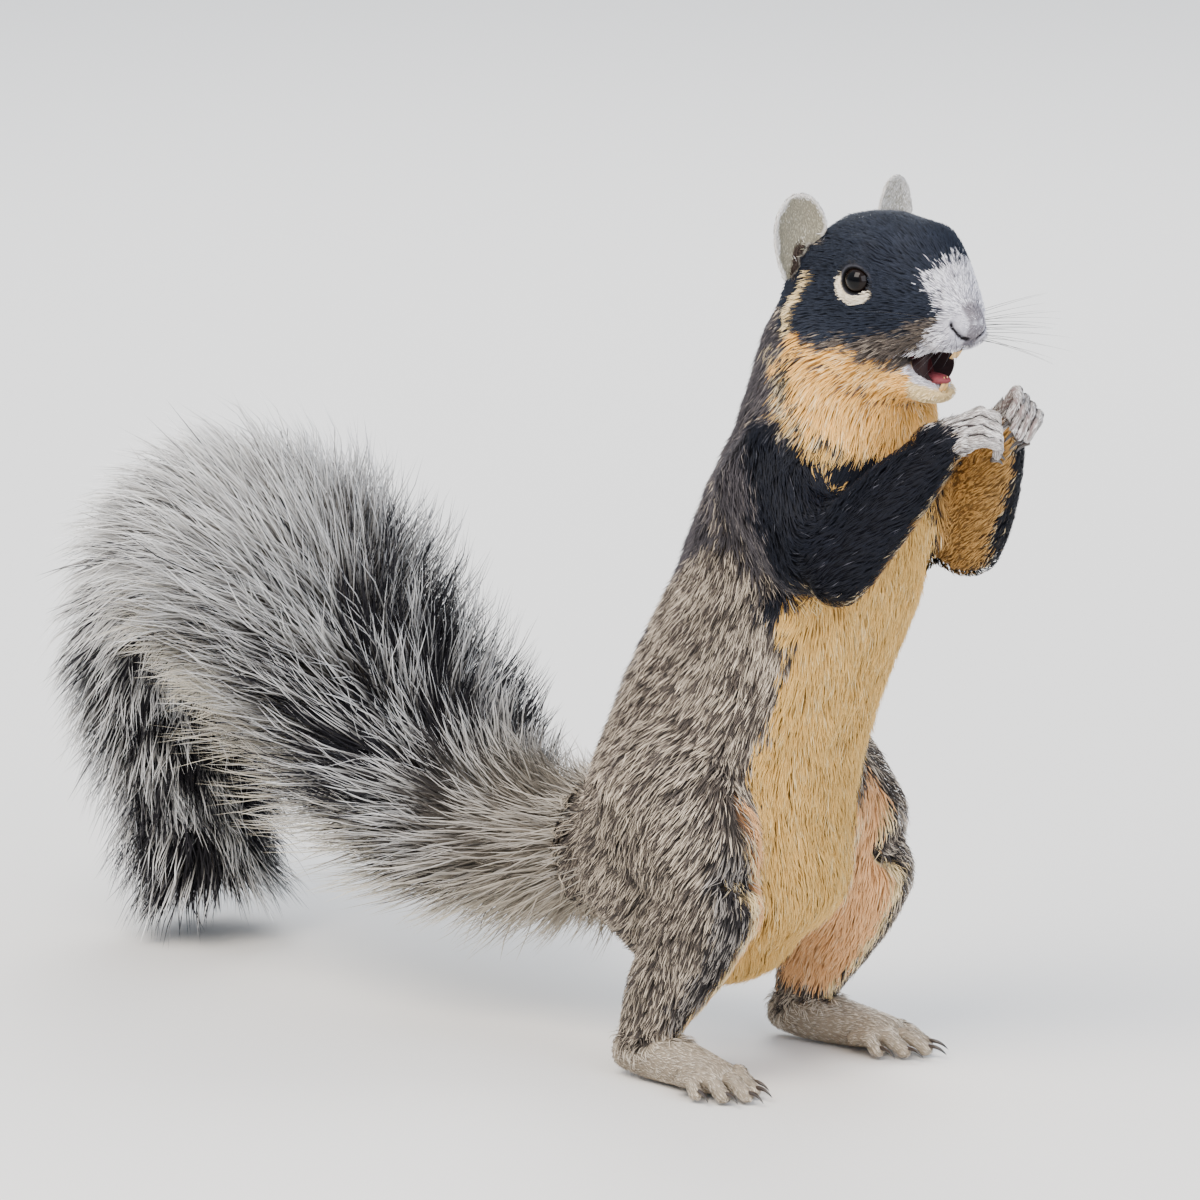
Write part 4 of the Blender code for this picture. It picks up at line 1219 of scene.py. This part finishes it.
# no hair grows in the mouth, on the lids' edges, in the nostrils, on the soles or along the tail's core
bare = np.maximum.reduce([
    ramp(lining, 0.1, 0.4),
    ramp(lidReach, 1.30, 1.22),
    ramp(nostrilCover(skinPoints, 2.0), 0.1, 0.4),
    ramp(reachFrom(skinPoints, noseLook["middle"], noseLook["half"]), 1.2, 1.05),
    ramp(-skinNormals[:, 2], 0.3, 0.7) * ramp(skinPoints[:, 2] / mm, 3, 1.5),
    ramp(shareOf(shares, "tail"), 0.3, 0.5),
    buried,
    0.5 * facesPalm,
    0.6 * between,
    0.75 * gapShade,
])
density = valueOf(shares, 3) * (1 - bare)
density *= 1 + 0.9 * ramp(lidReach, 2.8, 1.9)
density *= 1 + 0.8 * ramp(headPlace(skinPoints)[0], 14, 20) * (shareOf(shares, "head") > 0.5)
density *= 1 + 1.2 * ramp(earPlace(skinPoints)[1], 1.6, 0.8) * ramp(earShare, 0.5, 0.8)
corners, mix = surfaceRoots(skin.data, density, 5)
roots = mixed(skinPoints, corners, mix)
normals = unit(mixed(softNormals, corners, mix))
rootShares = mixed(shares, corners, mix)
ways = unit(mixed(lay, corners, mix))
print(len(roots), "roots")

lockShape = {
    "clump": 2.2, "clumpPull": 0.35, "wander": 0.14, "loose": 0.07, "sink": 0.3,
    "ring": 0.6,  # how far along a lock is widest
    "swell": 0.30, "fold": 0.16, "foldStep": 5.5,  # uneven depth, and the flank's soft folds, mm apart
    "byTail": "#a89c8a", "byTailShares": (0.6, 0.85),  # root and middle of the rump's last locks
}


def laidOn(points, height):
    # moves points to the given height over the skin
    near = np.array([skinTree.find(point)[1] for point in points])
    over = np.sum((points - skinPoints[near]) * softNormals[near], axis=1)
    return points + softNormals[near] * (height * mm - over)[:, None]


def growBody():
    depth, length, width = (valueOf(rootShares, k) for k in (0, 1, 2))
    count = len(roots)
    reach = eyePlace(roots)[0]
    ahead = headPlace(roots)[0]
    onFace = shareOf(rootShares, "head", "nose")
    nearEye = ramp(reach, 3.2, 1.5)
    muzzle = ramp(ahead, 16, 24) * onFace
    length = length * (1 - 0.62 * nearEye) * (1 - 0.3 * muzzle) * np.exp(chance.normal(0, 0.16, count))
    width = width * (1 - 0.25 * nearEye) * (1 - 0.25 * muzzle) * np.exp(chance.normal(0, 0.16, count))
    depth = depth * (1 - 0.6 * nearEye) * (1 - 0.4 * muzzle)
    loose = 1 - 0.6 * ramp(onFace, 0.3, 0.7)
    way = ways + cloudVectors(roots, 9 * mm, 40) * lockShape["wander"] * 1.6 * loose[:, None]
    way = way + cloudVectors(roots, 3 * mm, 41) * lockShape["wander"] * loose[:, None]
    way = unit(alongSurface(way + chance.normal(0, lockShape["loose"], (count, 3)), normals))
    start = roots - normals * lockShape["sink"] * mm
    size = length[:, None] * mm
    centre = clumped(roots, lockShape["clump"] * mm, 42)
    pull = alongSurface(centre - roots, normals) * lockShape["clumpPull"]
    pull = pull * np.clip(length / 10, 0.1, 1)[:, None]
    facing = np.degrees(np.arctan2(np.abs(normals[:, 1]), normals[:, 0]))
    height = roots[:, 2] / mm
    swell = cloud(roots, 8 * mm, 50) - 0.5
    fold = np.sin(2 * math.pi * (height + 9 * cloud(roots, 14 * mm, 51)) / lockShape["foldStep"])
    fold = fold * ramp(facing, 55, 70) * ramp(facing, 150, 125)
    fold = fold * ramp(height, 76, 84) * ramp(height, 155, 135)
    relief = 1 + lockShape["swell"] * swell + lockShape["fold"] * fold
    depth = depth * relief
    tip = laidOn(roots + way * size + pull, depth * np.clip(chance.normal(0.92, 0.16, count), 0.4, 1.3))
    widest = roots + way * size * lockShape["ring"] + pull * 0.5
    ring = laidOn(widest, depth * chance.uniform(0.6, 0.9, count))
    # the marking under the middle of the lock, so that no border drifts along with the hair
    seen = roots + way * size * 0.5 + chance.normal(0, 0.07, (count, 3)) * size
    under = np.array([skinTree.find(point)[1] for point in seen])
    laid = {name: cover[under] for name, cover in laidSkin.items()}
    tones = np.stack(lockTones(laid, roots), axis=1)
    # no dark roots where the rump's last locks meet the tail
    onTail = ramp(shareOf(rootShares, "tail"), 0.02, 0.2)[:, None]
    for k, share in enumerate(lockShape["byTailShares"]):
        tones[:, k] = tones[:, k] * (1 - onTail) + tone(lockShape["byTail"]) * share * onTail
    # painted light and shade: locks lighter where the folds and swells lift the coat, darker where it sinks
    tones *= (1 + 0.16 * fold + 0.12 * swell)[:, None, None]
    # painted shade in the paws' hollows and finger furrows
    tones *= (1 - 0.85 * mixed(np.maximum(between, gapShade)[:, None], corners, mix))[:, :, None]
    lines = np.stack([start, ring, tip], axis=1)
    return lines, width[:, None] * mm, tones


lines, widths, tones = growBody()
main = rootShares.argmax(axis=1)
# each piece of coat: its slot and the parts of the body it covers
groups = {
    "coat_face": ("black_coat", "nose", "eye", "lower_jaw"),
    "coat_head": ("black_coat", "head"),
    "coat_ears": ("pale_coat", "ear"),
    "coat_neck": ("black_coat", "neck"),
    "coat_chest": ("grizzled_coat", "chest"),
    "coat_abdomen": ("grizzled_coat", "abdomen"),
    "coat_hips": ("grizzled_coat", "hips", "tail"),
    "coat_arms": ("black_coat", "upper_arm", "forearm"),
    "coat_hands": ("pale_coat", "hand"),
    "coat_legs": ("grizzled_coat", "thigh", "shank"),
    "coat_feet": ("pale_coat", "foot"),
}
paired = ("coat_ears", "coat_arms", "coat_hands", "coat_legs", "coat_feet")
furFinish = coatFinish("fur", 0.65, 0.2, 0.22)
for name, (slotName, *members) in groups.items():
    chosen = np.isin(main, [partNames.index(member) for member in members])
    points = roots[chosen]
    onRight = points[:, 1] / mm < bodyMiddle
    halves = [onRight, ~onRight] if name in paired else [np.ones(len(points), bool)]
    makeLocks(name, lines[chosen], widths[chosen], normals[chosen], tones[chosen],
              unwrapped(points, halves), furFinish, slotName)

tailLook = {
    # locks, length ahead in mm, share of the way out to the tail's outline, width in mm, rings, pieces
    "hair": (25000, (18, 38), (0.72, 1.22), 0.45, 2, 3),
    "fill": (28000, (13, 30), (0.5, 1.06), 0.44, 1, 1),
    "under": (7000, (14, 26), (0.3, 0.6), 0.8, 1, 1),
    "droop": 2.0, "clump": 6.5, "clumpPull": 0.55,
    "wide": (48, 14),  # mm from the middle where the plume starts to close up, and how far it still spreads
    "sunk": 14,  # mm that the first hairs start inside the hips
    "stray": (4.0, 3.6, 1.4),  # mm that tips stray in broad tufts, in narrow ones and each alone
    "wave": 2.2,
    "tones": {
        "base": "#857b6c", "dark": "#242327", "pale": "#dad8d4", "white": "#ffffff", "rump": "#a89c8a",
        "below": "#f2e8d2",
    },
}


def tailTones(kind, along, above, reach, tip, picker):
    # the tones of each lock of the tail from its root to its tip; above: 1 on top of the arch, -1 below it
    root = ramp(along, 0.26, 0.08)
    below = ramp(-above, 0.1, 0.7) * ramp(along, 0.66, 0.54)
    ridge = ramp(above, -0.4, 0.1) * ramp(along, 0.02, 0.12) * ramp(along, 0.48, 0.38)
    # Painted light and shade: the crest on top of the arch's rear is lighter, partly its own pale hair and
    # partly painted light, and the inner side of the hanging tip is darker as painted shade.
    crestLight = ramp(above, 0.1, 0.7) * ramp(along, 0.38, 0.5) * ramp(along, 0.95, 0.85)
    inner = ramp(above, 0.3, -0.2) * ramp(along, 0.58, 0.68)
    patch = cloud(tip, 15 * mm, 60)
    streak = 0.45 * picker.random(len(tip)) + 0.55 * cloud(tip, 4 * mm, 62)
    base, dark, pale, white, rump, cream = (tone(code) for code in tailLook["tones"].values())
    shade = np.exp(picker.normal(0, 0.16, len(tip)))[:, None]
    bright = streak + 1.0 * (patch - 0.5) + 0.30 * below + 0.28 * crestLight - 0.18 * ridge - 0.22 * inner
    bright = ramp(bright + 0.22 * ramp(reach, 0.9, 1.1), 0.42, 0.55)[:, None]
    root, below = root[:, None], below[:, None]
    light = white * (1 - below) + cream * below
    tipTone = dark * (1 - bright) + light * bright
    tipTone = tipTone * (1 - 0.85 * root) + rump * (0.3 + 0.9 * bright) * 0.85 * root
    bandTone = dark * (1 - 0.75 * bright) + (pale * (1 - below) + cream * below) * 0.75 * bright
    bandTone = bandTone * (1 - 0.7 * root) + rump * (0.25 + 0.5 * bright) * 0.7 * root
    deepTone = dark * (1 - root) + rump * 0.55 * root
    midTone = deepTone * (1 - 0.25 * bright) + base * 0.25 * bright
    rootTone = base * 0.4 + deepTone * 0.6
    if kind == "under":
        bands = [deepTone, deepTone * 0.8 + pale * 0.2]
    elif kind == "fill":
        bands = [midTone * 0.5 + bandTone * 0.5, tipTone]
    else:
        bands = [midTone, bandTone, tipTone]
    return np.stack([rootTone] + [band * shade for band in bands], axis=1)


def growTail(kind, seed):
    count, forwardRange, reachRange, thick, rings, pieces = tailLook[kind]
    picker = np.random.default_rng(seed)
    steps = 400
    bone = smoothCurve(tail["bone"], steps)
    line = bone[:, :3] * mm
    ahead = unit(np.gradient(line, axis=0))
    across = unit(alongSurface(np.tile([0, 1.0, 0], (steps, 1)), ahead))
    outer = np.cross(ahead, across)
    outer *= np.sign(outer[0, 2])  # the upper, outer side of the arch
    gone = np.concatenate([[0], np.cumsum(np.linalg.norm(np.diff(line, axis=0), axis=1))])
    total = gone[-1]
    # more locks where the tail is full
    girth = bone[:, 3] + bone[:, 4]
    place = np.interp(picker.random(count), np.cumsum(girth) / girth.sum(), gone)
    place -= tailLook["sunk"] * mm * np.clip(1 - place / (60 * mm), 0, 1)
    turn = picker.random(count) * 2 * math.pi

    def at(values, where):
        return np.stack([np.interp(where, gone, values[:, k]) for k in range(values.shape[1])], axis=1)

    def spot(where, turn, reach):
        # a point at a share of the way from the bone out to the tail's outline
        inside = np.clip(where, 0, total)
        past = (where - inside)[:, None]
        rib = at(bone[:, 3:], inside) * mm
        wayOut = at(outer, inside) * (np.cos(turn) * rib[:, 0])[:, None]
        wayOut = wayOut + at(across, inside) * (np.sin(turn) * rib[:, 1])[:, None]
        return at(line, inside) + wayOut * reach[:, None] + at(ahead, inside) * past

    fullness = np.interp(place, gone, girth / 105)
    forward = picker.uniform(*forwardRange, count) * mm * (0.45 + 0.55 * fullness)
    reach = picker.uniform(*reachRange, count)
    end = place + forward
    none = np.zeros(count)
    swirl = 0.8 * (cloud(np.stack([place, turn * 0.02, none], axis=1), 0.02, seed) - 0.5)
    swirl = picker.normal(0, 0.22, count) + swirl
    first = spot(place, turn, none) + unit(spot(place, turn, none + 1) - spot(place, turn, none)) * 5 * mm
    tip = spot(end, turn + swirl, reach)
    control = spot(place + forward * 0.34, turn + swirl * 0.4, reach * 0.72)
    tuft = clumped(tip, tailLook["clump"] * mm, seed + 3)
    tip = tip + (tuft - tip) * tailLook["clumpPull"] * picker.uniform(0.2, 1, count)[:, None]
    broad, narrow, alone = tailLook["stray"]
    tip = tip + cloudVectors(tip, 14 * mm, 45) * broad * mm + cloudVectors(tip, 6 * mm, 46) * narrow * mm
    tip = tip + picker.normal(0, alone * mm, (count, 3))
    tip[:, 2] -= tailLook["droop"] * mm * reach
    tip[:, 2] = np.maximum(tip[:, 2], 0.5 * mm)

    def curve(t):
        return first * (1 - t) ** 2 + control * 2 * t * (1 - t) + tip * t ** 2

    stops = (0.5, 0.78) if rings == 2 else (0.62,)
    wave = cloudVectors(curve(0.7), 7 * mm, 47) * tailLook["wave"] * mm
    lines = np.stack([first] + [curve(t) + wave * t for t in stops] + [tip], axis=1)
    # the plume closes up towards its widest
    aside = np.abs(lines[:, :, 1])
    free, spread = (size * mm for size in tailLook["wide"])
    beyond = np.maximum(aside - free, 0) / spread
    aside = np.minimum(aside, free) + spread * (1 - np.exp(-beyond))
    lines[:, :, 1] = np.sign(lines[:, :, 1]) * aside
    width = thick * np.exp(picker.normal(0, 0.2, count))
    widths = np.stack([width] + ([width * 0.8] if rings == 2 else []), axis=1) * mm
    within = at(line, np.minimum(place + forward * 0.5, total))
    soft = unit(alongSurface(curve(0.6) - within, unit(tip - first)))

    tones = tailTones(kind, place / total, np.cos(turn), reach, tip, picker)
    places = np.stack([turn / (2 * math.pi), place / total], axis=1)
    edges = np.quantile(place, np.linspace(0, 1, pieces + 1))
    for i in range(pieces):
        chosen = (place >= edges[i]) & (place <= edges[i + 1] if i == pieces - 1 else place < edges[i + 1])
        own = places[chosen].copy()
        own[:, 1] = (place[chosen] - edges[i]) / (edges[i + 1] - edges[i])
        piece = makeLocks(f"tail_{kind}_{i + 1}", lines[chosen], widths[chosen], soft[chosen],
                          tones[chosen], own, tailFinish, "tail_coat")


tailFinish = coatFinish("tailFur", 0.65, 0.2, 0.16)
growTail("hair", 21)
growTail("fill", 31)
growTail("under", 41)
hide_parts(*[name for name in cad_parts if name.startswith("tail")])
print("tail ready")


def ballWays(rows, columns):
    # directions over a ball, in rings round the first axis, and the angle of each from that axis
    angle = np.repeat(math.pi * np.arange(rows + 1) / rows, columns)
    turn = np.tile(2 * math.pi * np.arange(columns) / columns, rows + 1)
    flat = np.sin(angle)
    return np.stack([np.cos(angle), flat * np.cos(turn), flat * np.sin(turn)], axis=1), angle


eyeLook = {
    "pupil": "#020203", "iris": "#120b08", "edge": "#050404", "rows": 40, "columns": 56, "cornea": 0.03,
    "fit": 0.985, "irisEnds": (0.5, 0.6, 0.9, 1.05),  # angles from the eye's axis
}


def makeEye(side):
    rows, columns = eyeLook["rows"], eyeLook["columns"]
    pupil, iris, edge = (tone(eyeLook[name]) for name in ("pupil", "iris", "edge"))
    way, angle = ballWays(rows, columns)
    size = eyeRadius * eyeLook["fit"] * (1 + eyeLook["cornea"] * np.maximum(way[:, :1], 0) ** 4)
    points = middle("eye_" + side) + way @ np.array(eyeAxes(side)) * size
    inner, full, fading, outer = eyeLook["irisEnds"]
    inIris = (ramp(angle, inner, full) * ramp(angle, outer, fading))[:, None]
    tones = np.where(angle[:, None] < outer, pupil * (1 - inIris) + iris * inIris, edge)
    eye = makeObject("eyeball_" + side, points, ringFaces(rows, columns, side == "left"))
    colourPoints(eye, tones)
    settle(eye, glossFinish("eye_" + side, 0.05, None, 0.12, gloss=0.1), "eye", "eye_" + side)


for side in sides:
    makeEye(side)


def makeNose():
    # a soft pad with two comma-shaped nostrils and a groove down to the lip
    rows, columns = noseLook["rows"], noseLook["columns"]
    x, y, z = noseLook["middle"]
    halfX, halfY, halfZ = noseLook["half"]
    way = ballWays(rows, columns)[0]
    narrow = 1 - noseLook["taper"] * np.clip(-way[:, 2], 0, 1) ** 2
    place = np.stack([x + halfX * way[:, 0], y + halfY * way[:, 1] * narrow, z + halfZ * way[:, 2]], axis=1)
    points = eyeMiddle + place @ np.array([headAhead, headLeft, headUp]) * mm
    # the nostrils and the groove are dented, and painted near-black as painted shade
    dark = nostrilCover(points)[:, None]
    centre = fromHead(x, y, z)
    points = centre + (points - centre) * (1 - noseLook["dent"] * dark)
    # painted shade: the pad's middle darker than its sides
    out = np.clip(np.abs(way[:, 1:2]) * 1.2, 0, 1)
    shade = tone(noseLook["side"]) * out + tone(noseLook["top"]) * (1 - out)
    shade = shade * (0.8 + 0.4 * cloud(points, 0.5 * mm, 70))[:, None]
    nose = makeObject("nosePad", points, ringFaces(rows, columns))
    colourPoints(nose, shade * (1 - dark) + tone(noseLook["slit"]) * dark)
    settle(nose, coatFinish("noseLeather", 0.5, 0.4, 0.12, 5000, 0.7), "nose_skin", "nose")


makeNose()


def makeMouth(name):
    place, half, tint, slotName = mouthLook[name]
    rows, columns = 28, 36
    x, y, z = ballWays(rows, columns)[0].T[:, :, None]
    if name == "shadowPocket":
        x = np.where(x > 0, 0.35 - (1 - y * y - z * z), x)
    if name == "tongue":
        z = z - 0.35 * np.exp(-(y / 0.2) ** 2) * np.maximum(z, 0)
    points = fromHead(place[0] + half[0] * x, half[1] * y, place[2] + half[2] * z)
    made = makeObject(name, points, ringFaces(rows, columns))
    settle(made, glossFinish(name + "Finish", 0.6, tint, gloss=0.25), slotName)


for name in mouthLook:
    makeMouth(name)

# Two teeth above and two below: root and tip in mm from the eyes' middle, ahead and up, and half the width.
teeth = {
    "incisors_upper": ((27.0, -18.5), (24.2, -24.6), 0.85),
    "incisors_lower": ((18.4, -36.5), (20.9, -31.0), 0.72),
    "tint": "#d9b070", "thick": 0.65, "bow": 0.9,
}


def makeTeeth(name):
    (startAhead, startUp), (endAhead, endUp), half = teeth[name]
    points, faces = [], []
    for side in (-1, 1):
        t = np.linspace(0, 1, 8)[:, None]
        root, tip = fromHead(startAhead, side * half, startUp), fromHead(endAhead, side * half, endUp)
        route = root * (1 - t) + tip * t + headAhead * 4 * t * (1 - t) * teeth["bow"] * mm
        radii = np.hstack([half * (1 - 0.1 * t ** 2), teeth["thick"] * (1 - 0.75 * t ** 3)])
        new, shape = tube(route, radii * mm, 10)
        faces += [tuple(i + len(points) for i in face) for face in shape]
        points += list(new)
    made = makeObject(name + "Enamel", points, faces)
    settle(made, enamel, "tooth", name)


enamel = glossFinish("enamel", 0.25, teeth["tint"], 0.3)
makeTeeth("incisors_upper")
makeTeeth("incisors_lower")

clawLook = {"root": 0.7, "curve": 0.18, "rings": 9, "corners": 10, "dark": "#0f0c0b", "pale": "#3d342e"}


def makeClaw(name):
    points = meshArrays(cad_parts[name].data)[0]
    paw = middle(name.split("_")[1] + "_" + name.split("_")[2])
    tip = points[np.linalg.norm(points - paw, axis=1).argmax()]
    root = points[np.linalg.norm(points - tip, axis=1).argmax()]
    length = np.linalg.norm(tip - root)
    way = (tip - root) / length
    up = unit(alongSurface(np.array([0.15, 0, 1.0]), way))
    t = np.linspace(-0.35, 1, clawLook["rings"])[:, None]
    route = root + way * t * length + up * (clawLook["curve"] * length * 4 * t * (1 - t) * 0.5)
    radii = clawLook["root"] * mm * np.clip(1 - t[:, 0], 0, 1.1) ** 0.75 + 0.04 * mm
    made, faces = tube(route, radii, clawLook["corners"])
    share = np.clip((made - root) @ way / length, 0, 1)[:, None]
    claw = makeObject(name + "Horn", made, faces)
    colourPoints(claw, tone(clawLook["pale"]) * (1 - share) + tone(clawLook["dark"]) * share)
    settle(claw, clawFinish, "claw", name)


clawFinish = glossFinish("clawHorn", 0.3, None, 0.2)
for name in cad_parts:
    if name.startswith("claw"):
        makeClaw(name)

whisker = {
    "rows": 4, "each": 5, "length": (22, 44), "thick": 0.10, "tint": "#1d1a19",
    "from": (24.5, 8.6, -17.5),  # ahead, out and up from the eyes' middle
    "bend": (-0.16, 0.05, -0.10),
}


def makeWhiskers():
    picker = np.random.default_rng(3)
    points, faces = [], []
    startAhead, startOut, startUp = whisker["from"]
    for side in sides.values():
        for row in range(whisker["rows"]):
            for k in range(whisker["each"]):
                ahead, out = startAhead + 1.7 * k - 0.4 * row, startOut - 0.3 * k
                up = startUp + 2.0 * row - 0.3 * k
                root = fromHead(ahead, side * (out - 1.5), up)
                length = picker.uniform(*whisker["length"]) * (1.05 - 0.1 * k)
                forwards = 0.15 + 0.22 * k + picker.normal(0, 0.07)
                way = np.array([forwards, 0.9, -0.18 + 0.13 * row + picker.normal(0, 0.06)])
                t = np.linspace(0, 1, 9)[:, None]
                place = length * (t * unit(way) + np.array(whisker["bend"]) * t ** 2.2)
                place[:, 1] *= side
                route = root + place @ np.array([headAhead, headLeft, headUp]) * mm
                new, shape = tube(route, whisker["thick"] * mm * (1 - 0.86 * t[:, 0]), 5)
                faces += [tuple(i + len(points) for i in face) for face in shape]
                points += list(new)
    made = makeObject("whiskers", points, faces)
    settle(made, glossFinish("whisker", 0.35, whisker["tint"]), "whisker")


makeWhiskers()
print("details ready")
